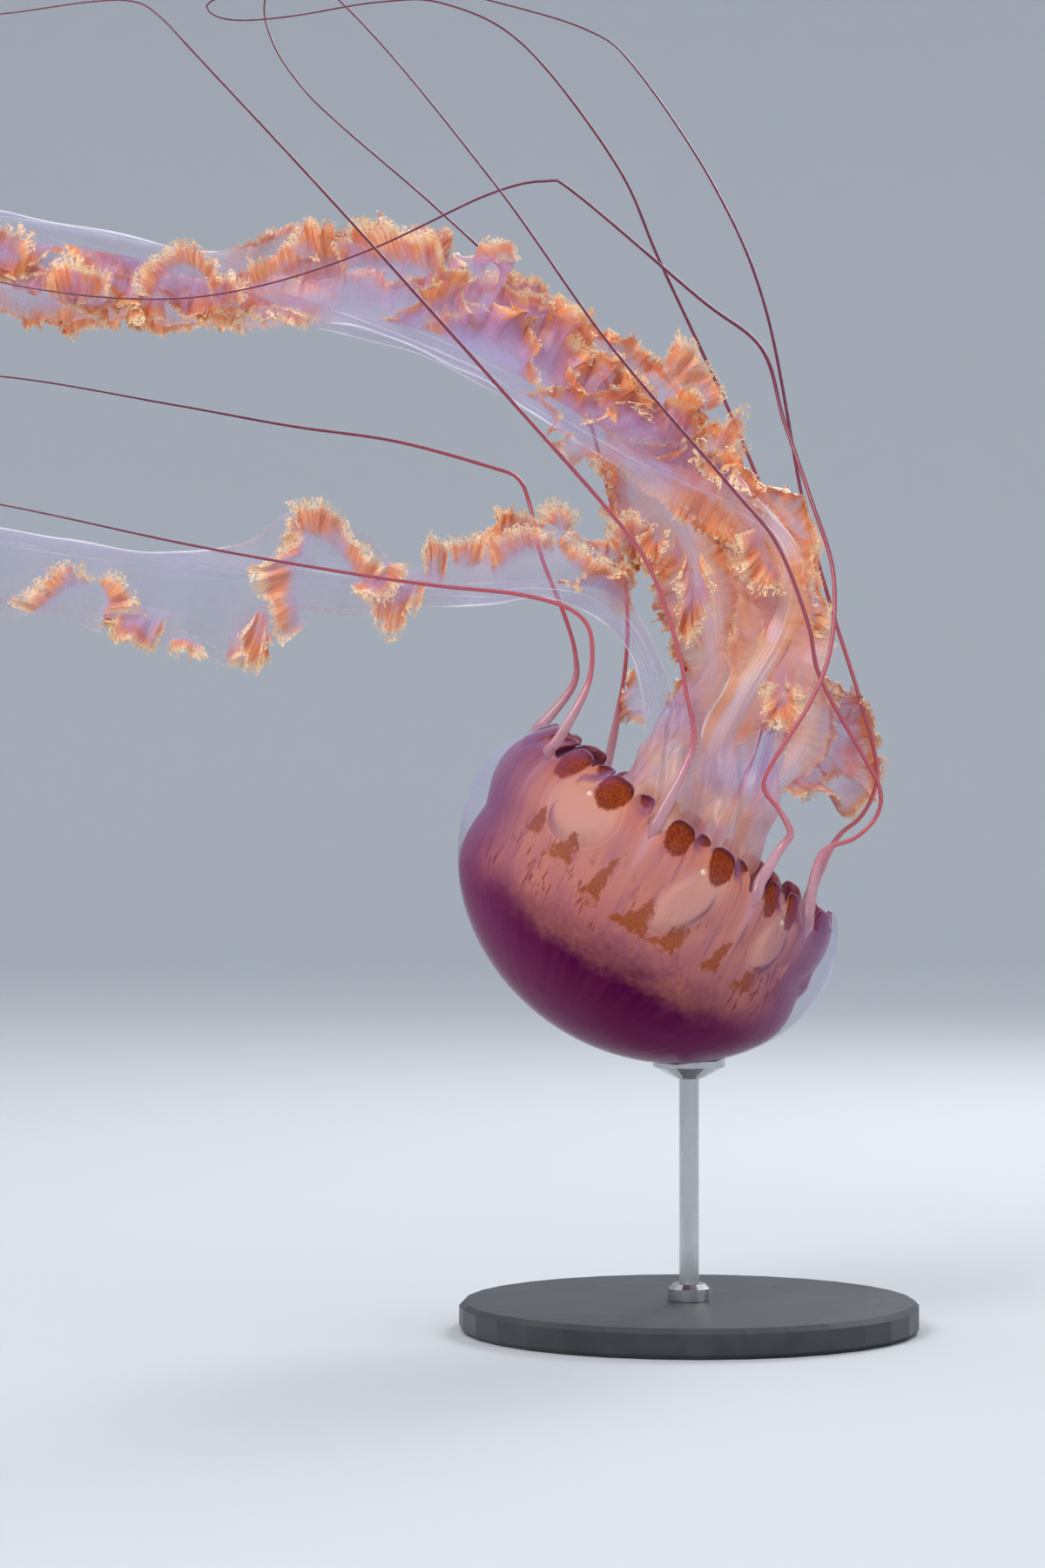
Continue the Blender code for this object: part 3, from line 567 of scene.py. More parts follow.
def bell_material(bell):
    """Plum crown, partly painted shade, and rose flank with streaks, wedges, pouches and brown lappets;
    painted shade darkens the skin where it is seen edge on.
    """
    skin = Finish(
        "bell_pigment", Subsurface_Weight=0.15, Subsurface_Scale=0.004, Subsurface_Radius=(1.0, 0.45, 0.4),
        Specular_IOR_Level=0.02,
    )
    height, lip, pouch = skin.read("height"), skin.read("lip"), skin.read("pouch")
    meridian = skin.read("meridian", "Vector")
    broad = skin.cloud(skin.here, 22.0, 4.0, 0.6, 0.4)
    fine = skin.cloud(skin.here, 260.0, 3.0, 0.6)
    along = skin.cloud(meridian, (19.0, 19.0, 1.7), 4.0, 0.55, 0.35)
    lines = skin.cloud(meridian, (56.0, 56.0, 9.0), 3.0, 0.6, 0.4)

    level = height + ((broad - 0.5) * 0.035 + (fine - 0.5) * 0.012)
    # Painted shade over the bell's own purple: the crown darkens to a deep plum towards the apex.
    crown = skin.mix(level.step(0.0, 0.050), (0.14, 0.004, 0.022), bell.crown_colour)
    crown = skin.mix(along.step(0.44, 0.66, 0.0, 0.4), crown, (0.19, 0.020, 0.075))
    flank = skin.mix(along.step(0.46, 0.72, 0.0, 0.75), bell.flank_colour, bell.mauve_colour)
    flank = skin.mix(level.step(0.070, 0.100, 0.35, 0.9), bell.mauve_colour, flank)
    flank = skin.mix(0.7, flank, skin.mix(broad.step(0.35, 0.65), flank, bell.flank_colour))
    dashes = lines.step(0.53, 0.59) * level.step(0.062, 0.076) * level.step(0.116, 0.096)
    dashes = dashes * broad.step(0.43, 0.52)
    paler = skin.mix(fine.step(0.3, 0.7), bell.pouch_colour, (0.66, 0.33, 0.26))
    pouch_edge = pouch.step(-0.05, 0.01) * pouch.step(0.07, 0.01)
    wedge = skin.use(pigment_speckle, Field=skin.read("wedge"), Grain=1100.0, Fray=2.4)
    brown = skin.mix(wedge["Grains"], bell.wedge_colour, (0.43, 0.108, 0.014))
    flap = skin.use(pigment_speckle, Field=skin.read("flap"), Grain=900.0, Fray=0.75)
    umber = skin.mix(flap["Grains"], bell.lappet_colour, (0.36, 0.055, 0.004))
    umber = skin.mix(lip.step(0.0045, 0.001), umber, (0.075, 0.008, 0.005))
    lining = skin.mix(along.step(0.35, 0.7), (0.55, 0.24, 0.26), (0.30, 0.10, 0.15))
    # Partly painted shade and partly the pigment's depth seen edge on: the skin turns dark plum where the
    # bell is seen edge on.
    edge_on = skin.put("ShaderNodeLayerWeight", "Facing", {"Blend": 0.4})
    colour = skin.coats(
        crown,
        (level.step(0.048, 0.079), flank),
        (dashes * 0.85, (0.22, 0.022, 0.018)),
        (pouch.step(0.0, 0.30) * 0.72, paler),
        (pouch_edge * 0.22, (0.80, 0.46, 0.36)),
        (skin.read("ridge").step(0.0, 1.0) * 0.5, (0.72, 0.38, 0.42)),
        (skin.read("groove").step(0.15, 1.0) * 0.62, (0.27, 0.05, 0.095)),
        (wedge["Mask"] * 0.96, brown),
        (flap["Mask"] * 0.96, umber),
        (lip.step(0.0006, 0.0001) * 0.6, (0.70, 0.38, 0.28)),
        (skin.read("spot").step(0.0, 0.5), (1.0, 0.80, 0.62)),
        (skin.read("inside"), lining),
        # painted shade where the skin is seen edge on
        (edge_on.step(0.15, 0.58, 0.0, 0.88), (0.19, 0.028, 0.105)),
    )
    skin.join(Base_Color=colour)
    return skin.moisten(180.0, 0.30, 0.35, 0.0015, along * 0.8)


def jelly_material():
    """The clear jelly over the pigment, which shows as a pale rim where it is seen edge on."""
    jelly = Finish("clear_jelly", Roughness=0.12, IOR=1.17, Coat_Weight=0.05, Coat_Roughness=0.05)
    height = jelly.read("height")
    lip = jelly.read("lip").step(0.0012, 0.0002)
    edge_on = jelly.put("ShaderNodeLayerWeight", "Facing", {"Blend": 0.36})
    milky = jelly.cloud(jelly.here, 14.0, 3.0, 0.6, 0.3).step(0.3, 0.75, 0.005, 0.03)
    milky = height.step(0.07, 0.11) * height.step(0.136, 0.126) * 0.05 + milky
    milky = milky * height.step(0.142, 0.134, 0.15, 1.0) + jelly.calc("POWER", edge_on, 3.0) * 0.75
    tint = jelly.mix(height.step(0.05, 0.095), (0.22, 0.02, 0.13), (0.50, 0.52, 0.88))
    alpha = jelly.calc("ADD", milky, lip * 0.06, clamp=True)
    jelly.join(Base_Color=jelly.mix(lip, tint, (0.95, 0.80, 0.78)), Alpha=alpha)
    jelly.bump(jelly.use(moist_surface, Scale=90.0, Gloss=0.10)["Height"], 0.12, 0.001)
    return jelly.material


def arm_material(arms):
    """Clear lilac membrane with fine white ribs, and orange frills with painted highlights and shade, and a
    cream lip.
    """
    skin = Finish(
        "arm_tissue", Subsurface_Weight=0.15, Subsurface_Scale=0.003, Subsurface_Radius=(1.0, 0.5, 0.3),
        Specular_IOR_Level=0.3,
    )
    lip, rib, frill, root = [skin.read(name) for name in ARM_FIELDS]
    flow = skin.read("flow", "Vector")
    streak = skin.cloud(flow, (360.0, 26.0, 1.0), 3.0, 0.55, 0.4)
    strand = skin.cloud(flow, (9.0, 900.0, 1.0), 3.0, 0.6, 0.15)
    tide = skin.cloud(flow, (26.0, 6.0, 3.0), 2.0)
    patch = skin.cloud(skin.here, 48.0, 4.0, 0.6, 0.4)
    grain = skin.cloud(skin.here, 700.0, 2.0, 0.6)

    reach = lip + (streak - 0.5) * 0.016 + (patch - 0.5) * 0.022 + (tide - 0.5) * 0.040
    blush = reach.step(0.036, 0.014) * frill
    body = reach.step(0.018, 0.005) * frill
    cream = (lip + (grain - 0.5) * 0.008 + (patch - 0.5) * -0.016).step(0.0056, 0.0014) * frill
    ribs = strand.step(0.52, 0.70) * rib.step(0.012, 0.002)
    band = rib.step(0.0085, 0.0050)
    hem = lip.step(0.0017, 0.0005) * frill.step(0.25, 0.05)
    peach = skin.mix(patch.step(0.40, 0.72), (0.98, 0.44, 0.19), (0.90, 0.40, 0.30))
    mauve = skin.mix(patch.step(0.38, 0.64), arms.shade_colour, (0.60, 0.30, 0.56))
    # Painted highlight and shade over the frills' own fibres: the orange lightens along the streaks, as on
    # lit crests, and stays dark between them, as in shaded folds; painted shade lies in mauve patches as
    # well.
    orange = skin.mix(streak.step(0.40, 0.70), arms.frill_colour, (0.98, 0.46, 0.20))
    orange = skin.mix(patch.step(0.50, 0.72, 0.0, 0.6), orange, arms.shade_colour)
    colour = skin.coats(
        arms.membrane_colour,
        (root, skin.mix(band, peach, (0.82, 0.53, 0.56))),
        (ribs, (0.90, 0.86, 0.95)),
        (hem * 0.8, (0.94, 0.92, 0.98)),
        (blush, skin.mix(root, mauve, peach)),
        (body, orange),
        (cream * 0.9, arms.lip_colour),
    )

    veil = root * 0.55 + patch.step(0.3, 0.7, 0.10, 0.24) + ribs * 0.30 + band * (root * 0.10 + 0.06)
    veil = veil + (hem * 0.40 + lip.step(0.0016, 0.0002) * 0.20)
    cover = blush * streak.step(0.32, 0.66, 0.38, 0.66)
    cover = skin.calc("MAXIMUM", cover, body * streak.step(0.30, 0.6, 0.80, 0.97))
    cover = skin.calc("MAXIMUM", cover, cream * 0.97)
    emerging = skin.put("ShaderNodeSeparateXYZ", "X", {"Vector": flow}).step(0.068, 0.115, 0.15, 1.0)
    lace = skin.cloud(skin.here, 520.0, 3.0, 0.65, 0.5).step(0.40, 0.62, -0.0006, 0.0036)
    torn = (lip - lace * frill).step(-0.0001, 0.0002)
    skin.join(Base_Color=colour, Alpha=skin.calc("MAXIMUM", veil, cover, clamp=True) * emerging * torn)
    return skin.moisten(320.0, 0.36, 0.4, 0.0010, streak * frill)


def tentacle_material(settings):
    """Pale lilac at the root, deepening to a dark red thread."""
    thread = Finish("tentacle_flesh", Coat_Weight=0.35, Coat_Roughness=0.12)
    along = thread.read("along")
    mottle = thread.cloud(thread.here, 240.0, 3.0, 0.6)
    loose = along + (mottle - 0.5) * 0.03
    colour = thread.coats(
        settings.root_colour,
        (loose.step(0.015, 0.075), (0.52, 0.09, 0.12)),
        (loose.step(0.09, 0.40), settings.tip_colour),
        (along.step(0.0, -0.02), (0.60, 0.25, 0.25)),
        (mottle.step(0.55, 0.75, 0.0, 0.25), (0.55, 0.14, 0.18)),
    )
    thread.join(Base_Color=colour, Alpha=along.step(0.0, 0.05, 0.55, 1.0))
    return thread.moisten(420.0, 0.28, 0.4, 0.0006)


def stalk_material():
    """Milky lilac and peach of the mouth stalk."""
    flesh = Finish(
        "stalk_flesh", Coat_Weight=0.3, Coat_Roughness=0.15, Subsurface_Weight=0.3, Subsurface_Scale=0.005
    )
    veins = flesh.cloud(flesh.here, (60.0, 60.0, 18.0), 4.0, 0.6, 0.5)
    flesh.join(Base_Color=flesh.mix(veins.step(0.35, 0.68), (0.72, 0.40, 0.40), (0.50, 0.33, 0.58)))
    return flesh.moisten(200.0, 0.3, 0.4, 0.0012, veins)


def veil_material():
    """Thin lilac and peach skin, streaked along its folds, that the arms show through."""
    skin = Finish("veil_flesh", Coat_Weight=0.2, Coat_Roughness=0.2)
    flow, along = skin.read("flow", "Vector"), skin.read("along")
    streak = skin.cloud(flow, (16.0, 16.0, 2.6), 4.0, 0.62, 0.5)
    fine = skin.cloud(flow, (70.0, 70.0, 7.0), 3.0, 0.6, 0.3)
    patch = skin.cloud(skin.here, 34.0, 4.0, 0.6, 0.4)
    peach = skin.mix(patch.step(0.38, 0.66), (0.86, 0.42, 0.28), (0.74, 0.36, 0.40))
    lilac = skin.mix(streak.step(0.35, 0.65), (0.50, 0.38, 0.78), (0.66, 0.42, 0.62))
    colour = skin.mix((patch * 0.5 + along).step(0.64, 1.04), peach, lilac)
    colour = skin.mix(fine.step(0.60, 0.78, 0.0, 0.35), colour, (0.92, 0.78, 0.80))
    alpha = streak.step(0.32, 0.68, 0.40, 0.68) + fine.step(0.58, 0.78, 0.0, 0.12)
    alpha = skin.calc("MULTIPLY", alpha, along.step(1.0, 0.50), clamp=True)
    skin.join(Base_Color=colour, Alpha=alpha)
    return skin.moisten(240.0, 0.32, 0.5, 0.0015, streak)


def paint_material():
    """Satin charcoal paint of the stand's base."""
    paint = Finish("satin_charcoal", Specular_IOR_Level=0.45)
    wear = paint.use(finish_wear, Grain=1800.0, Roughness=0.40)
    colour = paint.mix(wear["Shade"], (0.030, 0.032, 0.036), (0.050, 0.052, 0.058))
    paint.join(Base_Color=colour, Roughness=wear["Roughness"])
    paint.bump(wear["Height"], 0.18, 0.0004)
    return paint.material


def steel_material():
    """Steel brushed round the rod."""
    steel = Finish("brushed_steel", Metallic=1.0)
    lines = steel.cloud(steel.here, (12.0, 12.0, 2600.0), 3.0, 0.6)
    wear = steel.use(finish_wear, Grain=900.0, Roughness=0.27)
    colour = steel.mix(lines, (0.50, 0.51, 0.52), (0.68, 0.68, 0.69))
    steel.join(Base_Color=steel.mix(wear["Shade"], colour, (0.56, 0.56, 0.57)), Roughness=wear["Roughness"])
    steel.bump(lines, 0.15, 0.0002)
    return steel.material


def paper_material(studio):
    """Matt paper whose shade wanders slightly."""
    paper = Finish("backdrop_paper", Specular_IOR_Level=0.2, Roughness=0.85)
    darker = [value * 0.985 for value in studio.paper_colour]
    paper.join(Base_Color=paper.mix(paper.cloud(paper.here, 0.9, 3.0), darker, studio.paper_colour))
    return paper.material


# ---------------------------------------------------------------- meshes


def metres(rows, lengths):
    """The rows of a table with their first columns, which are lengths in millimetres, in metres."""
    return [(*(value / 1000 for value in row[:lengths]), *row[lengths:]) for row in rows]


def blend(start, end, share):
    return start + (end - start) * share


def ease(share):
    share = min(max(share, 0.0), 1.0)
    return share * share * (3 - 2 * share)


def new_bmesh(names=(), vectors=()):
    """An empty bmesh whose vertices keep the named values for a material to read."""
    bm = bmesh.new()
    for name in names:
        bm.verts.layers.float.new(name)
    for name in vectors:
        bm.verts.layers.float_vector.new(name)
    return bm


def store(bm, vert, values):
    """Keeps what a material reads at this vertex."""
    for name, value in values.items():
        kind = bm.verts.layers.float_vector if isinstance(value, Vector) else bm.verts.layers.float
        vert[kind.get(name)] = value


def add_object(name, bm, material):
    """Turns a bmesh into a smooth object of the scene."""
    mesh = bpy.data.meshes.new(name)
    bm.to_mesh(mesh)
    bm.free()
    mesh.materials.append(material)
    mesh.shade_smooth()
    obj = bpy.data.objects.new(name, mesh)
    bpy.context.scene.collection.objects.link(obj)
    return obj


def finish_piece(name, bm, material, nodes):
    """Turns a bmesh into a piece that rides on the model and stands for its solids."""
    obj = add_object(name, bm, material)
    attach(obj, "root")
    if nodes:
        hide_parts(*nodes)


def spin_line(bm, line, steps):
    """Joins the vertices into a line and spins it round the Z axis."""
    edges = [bm.edges.new(pair) for pair in zip(line, line[1:])]
    turn = {"axis": (0, 0, 1), "cent": (0, 0, 0), "steps": steps, "angle": math.tau, "use_merge": True}
    bmesh.ops.spin(bm, geom=line + edges, **turn)


def close_up(bm):
    """Joins the vertices that meet in a tube's crown and turns the faces outwards."""
    bmesh.ops.remove_doubles(bm, verts=bm.verts, dist=MERGE_DISTANCE)
    bmesh.ops.recalc_face_normals(bm, faces=bm.faces)


def tube_of_rows(columns, rows, names=(), vectors=()):
    """A tube of the given rows, whose vertices then take their places by column and row."""
    bm = new_bmesh(names, vectors)
    spin_line(bm, [bm.verts.new((1.0, 0.0, float(row))) for row in range(rows)], columns)
    return bm


def shape_tube(bm, bell, shape):
    """Moves each vertex of a tube to the radius and height that the shape gives for its angle and row."""
    for vert in bm.verts:
        angle = math.degrees(math.atan2(vert.co.y, vert.co.x)) % 360
        radius, height, values = shape(angle, round(vert.co.z))
        store(bm, vert, values)
        vert.co = bell.point(angle, radius, height)
    close_up(bm)


def rings_along(bm, route, rows, reach):
    """Each ring of a tube of rows: its vertices, its share of the route, and its frame there."""
    rings = {}
    for vert in bm.verts:
        rings.setdefault(round(vert.co.z), []).append(vert)
    side = Vector((0.0, 1.0, 0.0))
    for row, ring in sorted(rings.items()):
        share = row / (rows - 1)
        here = route.row(route.length * share)
        forward = route.forward(route.length * share, reach)
        side = (side - forward * side.dot(forward)).normalized()
        yield ring, share, here, side, forward.cross(side)


# ---------------------------------------------------------------- routes


def smooth_route(rows, per_span=12):
    """Rows of numbers joined by a Catmull-Rom curve, finely read."""
    rows = [Vector(row) for row in rows]
    ends = [2 * rows[0] - rows[1], *rows, 2 * rows[-1] - rows[-2]]
    fine = []
    for before, start, end, after in zip(ends, ends[1:], ends[2:], ends[3:]):
        slope = end - before
        bend = 2 * before - 5 * start + 4 * end - after
        twist = 3 * start - before - 3 * end + after
        for i in range(per_span):
            u = i / per_span
            fine.append(0.5 * (2 * start + slope * u + bend * u**2 + twist * u**3))
    return [*fine, rows[-1]]


class Route:
    """A finely read route, with its row of numbers at any distance."""

    def __init__(self, rows):
        self.fine = smooth_route(rows)
        self.along = [0.0]
        for start, end in zip(self.fine, self.fine[1:]):
            self.along.append(self.along[-1] + (Vector(end[:3]) - Vector(start[:3])).length)
        self.length = self.along[-1]
        self.last = 1

    def row(self, distance):
        i = self.last if self.along[self.last - 1] <= distance else 1
        while i < len(self.fine) - 1 and self.along[i] < distance:
            i += 1
        self.last = i
        share = (distance - self.along[i - 1]) / (self.along[i] - self.along[i - 1])
        return blend(self.fine[i - 1], self.fine[i], min(max(share, 0.0), 1.0))

    def forward(self, distance, reach):
        """The route's direction, read over a reach to each side."""
        ahead = self.row(min(self.length, distance + reach))
        behind = self.row(max(0.0, distance - reach))
        return Vector((ahead - behind)[:3]).normalized()


# ---------------------------------------------------------------- bell


class Bell:
    """The bell's surfaces, read at an angle round its axis and a height above its crown."""

    def __init__(self, settings):
        facing = BELL_ACROSS.cross(BELL_AXIS)
        turn = Matrix((facing, BELL_AXIS.cross(facing), BELL_AXIS)).transposed().to_4x4()
        self.sizes = settings
        self.matrix = Matrix.Translation(BELL_APEX) @ turn
        self.wedges = metres(WEDGES, 2)

    def point(self, angle, radius, height):
        turn = math.radians(angle)
        slump = -SLUMP * ease((height - SLUMP_START) / (self.sizes.depth - SLUMP_START))
        return self.matrix @ Vector((radius * math.cos(turn), radius * math.sin(turn) + slump, height))

    def outer(self, height):
        sizes = self.sizes
        if height <= sizes.shoulder:
            return sizes.radius * math.sqrt(max(0.0, 1 - (1 - height / sizes.shoulder) ** 2))
        share = (height - sizes.shoulder) / (sizes.depth - sizes.shoulder)
        return sizes.radius - sizes.curl * share * share

    def inner(self, height):
        if height <= MARGIN_START:
            share = max(0.0, (height - CAVITY_FLOOR) / (MARGIN_START - CAVITY_FLOOR))
            widest = self.outer(MARGIN_START) - WALL_AT_SHOULDER
            return blend(CAVITY_FLOOR_RADIUS, widest, math.sin(share * math.pi / 2))
        share = (height - MARGIN_START) / (self.sizes.depth - MARGIN_START)
        return self.outer(height) - blend(WALL_AT_SHOULDER, WALL_AT_RIM, ease(share))

    def rim(self, angle):
        return self.sizes.depth - self.sizes.lean * math.sin(math.radians(angle))

    def sector(self, angle):
        """The cleft that the sector starts at, its span, and how far into it the angle lies."""
        for first, following in zip(CLEFTS, [*CLEFTS[1:], CLEFTS[0] + 360]):
            offset = (angle - first) % 360
            if offset < following - first:
                return first, following - first, offset

    def lappet(self, angle):
        """Where the angle lies across its lappet, from -1 to 1, how deep the rim is cut, if it turns in."""
        _, span, offset = self.sector(angle)
        share = (offset - CLEFT_HALF_ANGLE) / (span - 2 * CLEFT_HALF_ANGLE)
        if not 0 <= share < 1:
            return 1.0, self.sizes.cleft, False
        number = sum(share >= edge for edge in LAPPET_EDGES) - 1
        start, end = LAPPET_EDGES[number], LAPPET_EDGES[number + 1]
        across = 2 * (share - start) / (end - start) - 1
        at_cleft = (number == 0 and across < 0) or (end == 1 and across > 0)
        depth = self.sizes.cleft if at_cleft else self.sizes.lappet
        return across, depth * (1 - (1 - abs(across) ** 3.0) ** (1 / 2.4)), number % 2 == 1

    def turn_in(self, below, across, turned):
        """How far a lappet's edge stands in or out: every second lappet turns in."""
        bend = ease((LAPPET_BEND - below) / LAPPET_BEND) * (1 - min(1.0, abs(across)) ** 2)
        return bend * (-LAPPET_TURN_IN if turned else LAPPET_FLARE)

    def pad(self, below, across):
        """How far a lappet is padded, from 0 to 1."""
        return ease((PAD_HEIGHT - below) / PAD_FADE) * (1 - min(1.0, abs(across)) ** 2)

    def wedge(self, angle, below, height, radius):
        """The field of the brown wedges, whose edges are ragged."""
        field = -1.0
        for down, size, middle, drawn in self.wedges:
            away = (angle - middle + 180) % 360 - 180
            if abs(away) < WEDGE_REACH:
                across = math.radians(away) * radius
                rise = (down - below) / (0.85 * drawn)
                ragged = noise.noise(Vector((angle * 0.55, height * 250, middle)))
                width = size * (0.30 + 0.70 * max(0.0, 0.5 - 0.5 * rise / size) ** 1.5 + 0.35 * ragged)
                within = 1 - max(abs(across - 0.35 * rise) / width, abs(rise) / size - 0.5 * ragged)
                field = max(field, 0.8 * within)
        return field

    def marks(self, angle, height):
        """The fields of the bell's pattern: each is above 0 inside its mark."""
        first, span, offset = self.sector(angle)
        radius = max(self.outer(min(height, self.sizes.depth)), 0.001)
        below = self.rim(angle) - height
        half = math.radians(span / 2) * radius
        arc = math.radians(offset - span / 2) * radius
        share, middle, tall, slant = POUCHES.get(first, POUCH)
        down = below - middle
        pouch = 1 - math.hypot((arc + slant * down) / (share * half), down / tall) ** 1.3
        spot = 1 - math.hypot(arc / SPOT_RADIUS, (below - SPOT_DEPTH) / SPOT_RADIUS)
        nearest = half - abs(arc)
        fade = ease((0.062 - below) / 0.05)
        ridge = fade * math.exp(-((nearest / blend(0.0015, 0.0052, fade)) ** 2))
        wobble = 0.0025 * noise.noise(Vector((angle * 0.11, height * 40, 3.0)))
        lines = (0.0085 + wobble, 0.62 * half + wobble, 0.30 * half - wobble)
        groove = max(math.exp(-(((nearest - line) / 0.0013) ** 2)) for line in lines)
        groove *= fade * (0.55 + 0.45 * math.sin(3 * first + angle * 0.35)) if pouch <= 0 else 0.0
        wedge = self.wedge(angle, below, height, radius)
        return {"pouch": pouch, "spot": spot, "ridge": ridge, "groove": groove, "wedge": wedge}

    def inset(self, angle, height, marks):
        """How far the pigment lies under the clear jelly, which is thickest at the sides."""
        swell = ease((height - 0.055) / 0.055) * ease((self.sizes.depth - height) / 0.022)
        swell *= 1 + 0.6 * math.sin(math.radians(angle)) ** 4
        depth = 0.0009 + self.sizes.jelly * swell
        depth -= 0.0042 * ease(marks["pouch"] * 1.8) + 0.0034 * marks["ridge"]
        return max(0.0007, depth + 0.0016 * marks["groove"])


def make_bell_skin(settings):
    """The pigmented skin: crown, flank and lappets outside, and the lining of the cavity."""
    bell = Bell(settings)
    crown, flank, margin, lining = SKIN_ROWS
    outside = crown + flank + margin
    low, high = SKIN_LEVELS

    def shape(angle, row):
        across, cut, turned = bell.lappet(angle)
        edge = bell.rim(angle) - cut
        within = row >= outside
        if row < crown:
            height = low * (1 - math.cos(row / crown * math.pi / 2)) ** 1.05
        elif row < crown + flank:
            height = blend(low, high, (row - crown) / flank)
        elif not within:
            height = blend(high, edge, ((row - crown - flank) / (margin - 1)) ** 0.9)
        else:
            height = blend(edge, CAVITY_FLOOR, ((row - outside + 0.4) / (lining - 0.6)) ** 1.15)
        marks = bell.marks(angle, height)
        below = bell.rim(angle) - height
        padding = LAPPET_PAD * bell.pad(below, across)
        if within:
            radius = (bell.inner(height) if row < outside + lining - 1 else 0.0) - padding
        else:
            radius = bell.outer(height) - bell.inset(angle, height, marks)
            radius += padding - 0.0012 * ease((0.030 - below) / 0.02) * min(1.0, abs(across)) ** 8
            radius = max(radius, bell.inner(height) + 0.0008 if height > CAVITY_FLOOR else 0.0)
        if row == 0:
            radius, height = 0.0, CROWN_INSET
        down, tall = (-0.002, 0.0095) if turned else (0.006, 0.0165)
        flap = 1 - math.hypot(across / 1.05, (below - down) / tall)
        turn = math.radians(angle)
        values = {**marks, "height": height, "flap": flap, "lip": edge - height, "inside": float(within)}
        values["meridian"] = Vector((math.cos(turn), math.sin(turn), height * 10))
        return radius + bell.turn_in(below, across, turned), height, values

    bm = tube_of_rows(settings.columns, outside + lining, SKIN_FIELDS, ("meridian",))
    shape_tube(bm, bell, shape)
    finish_piece("bell_skin", bm, bell_material(settings), ("bell_dome", "bell_margin"))


def make_jelly(settings):
    """The clear outer jelly, from the crown to just past the lappets."""
    bell = Bell(settings)
    crown, margin = JELLY_ROWS

    def shape(angle, row):
        across, cut, turned = bell.lappet(angle)
        edge = bell.rim(angle) - cut + JELLY_OVERHANG
        if row < crown:
            height = JELLY_CROWN * (1 - math.cos(row / crown * math.pi / 2))
        else:
            height = blend(JELLY_CROWN, edge, (row - crown) / (margin - 1))
        below = bell.rim(angle) - height
        swell = LAPPET_PAD * bell.pad(below, across) + bell.turn_in(below, across, turned)
        radius = bell.outer(height) + swell if row else 0.0
        return radius, height, {"height": height, "lip": edge - height}

    bm = tube_of_rows(settings.columns // 2, crown + margin, ("height", "lip"))
    shape_tube(bm, bell, shape)
    finish_piece("bell_jelly", bm, jelly_material(), ())


def make_stalk(settings):
    """The mouth stalk: four lobes that rise from the floor of the cavity and flare."""
    rows = STALK_ROWS

    def shape(angle, row):
        share = row / (rows - 1)
        height = blend(CAVITY_FLOOR - 0.002, STALK_TOP, share)
        waist = 0.030 - 0.012 * ease(share / 0.5) + 0.009 * ease((share - 0.5) / 0.5)
        lobes = 1 + 0.22 * share * math.cos(math.radians(4 * (angle + 10)))
        ripple = 0.0022 * share**3 * math.sin(math.radians(19 * angle))
        ripple += 0.0012 * math.sin(share * 30 + angle * 0.1)
        height += 0.004 * share**4 * math.sin(math.radians(13 * angle))
        return waist * lobes + ripple if row else 0.0, height, {}

    bm = tube_of_rows(STALK_COLUMNS, rows)
    shape_tube(bm, Bell(settings), shape)
    finish_piece("mouth_stalk", bm, stalk_material(), ("manubrium",))


def make_mouth_veil(settings):
    """The translucent folded skirt round the arms' bases, from inside the bell to the first bend."""
    bell = Bell(settings)
    route = Route([(*bell.point(0, 0, height), radius) for height, radius in VEIL_INSIDE] + VEIL_OUTSIDE)
    bm = tube_of_rows(VEIL_COLUMNS, VEIL_ROWS, ("along",), ("flow",))
    for ring, share, here, side, other in rings_along(bm, route, VEIL_ROWS, ARM_REACH):
        for vert in ring:
            turn = math.atan2(vert.co.y, vert.co.x)
            twisted = turn + 1.1 * share
            lobes = 1 + 0.20 * math.cos(4 * twisted + 0.5) + 0.10 * math.sin(9 * twisted + 5 * share)
            lobes += 0.05 * share * math.sin(23 * twisted + 8 * share)
            radius = here[3] * lobes
            co = Vector(here[:3]) + side * (radius * math.cos(turn)) + other * (radius * math.sin(turn))
            store(bm, vert, {"along": share, "flow": Vector((math.cos(turn), math.sin(turn), share))})
            vert.co = co + noise.noise_vector(co * 45) * 0.005
    bmesh.ops.recalc_face_normals(bm, faces=bm.faces)
    finish_piece("mouth_veil", bm, veil_material(), ())


# ---------------------------------------------------------------- tentacles


def tentacle_radius(settings, distance, length):
    trunk = blend(settings.root_radius, settings.radius, ease(distance / settings.taper))
    thinning = ease(max(0.0, distance / length - 0.12) / 0.7)
    return blend(trunk, settings.tip_radius, thinning)


def tentacle_root(settings, bell, angle):
    """The points of a root: three down the inside of the rim, and two out of the cleft."""
    cleft = bell.rim(angle) - bell.sizes.cleft
    edge = bell.outer(bell.sizes.depth - bell.sizes.cleft) - WALL_AT_RIM / 2
    heights = [cleft - settings.spindle * (1 - share) for share in (0.0, 0.33, 0.66)]
    root = [bell.point(angle, bell.inner(height) + 0.0006, height) for height in heights]
    return [*root, bell.point(angle, edge, cleft + 0.0024), bell.point(angle, edge - 0.003, cleft + 0.008)]


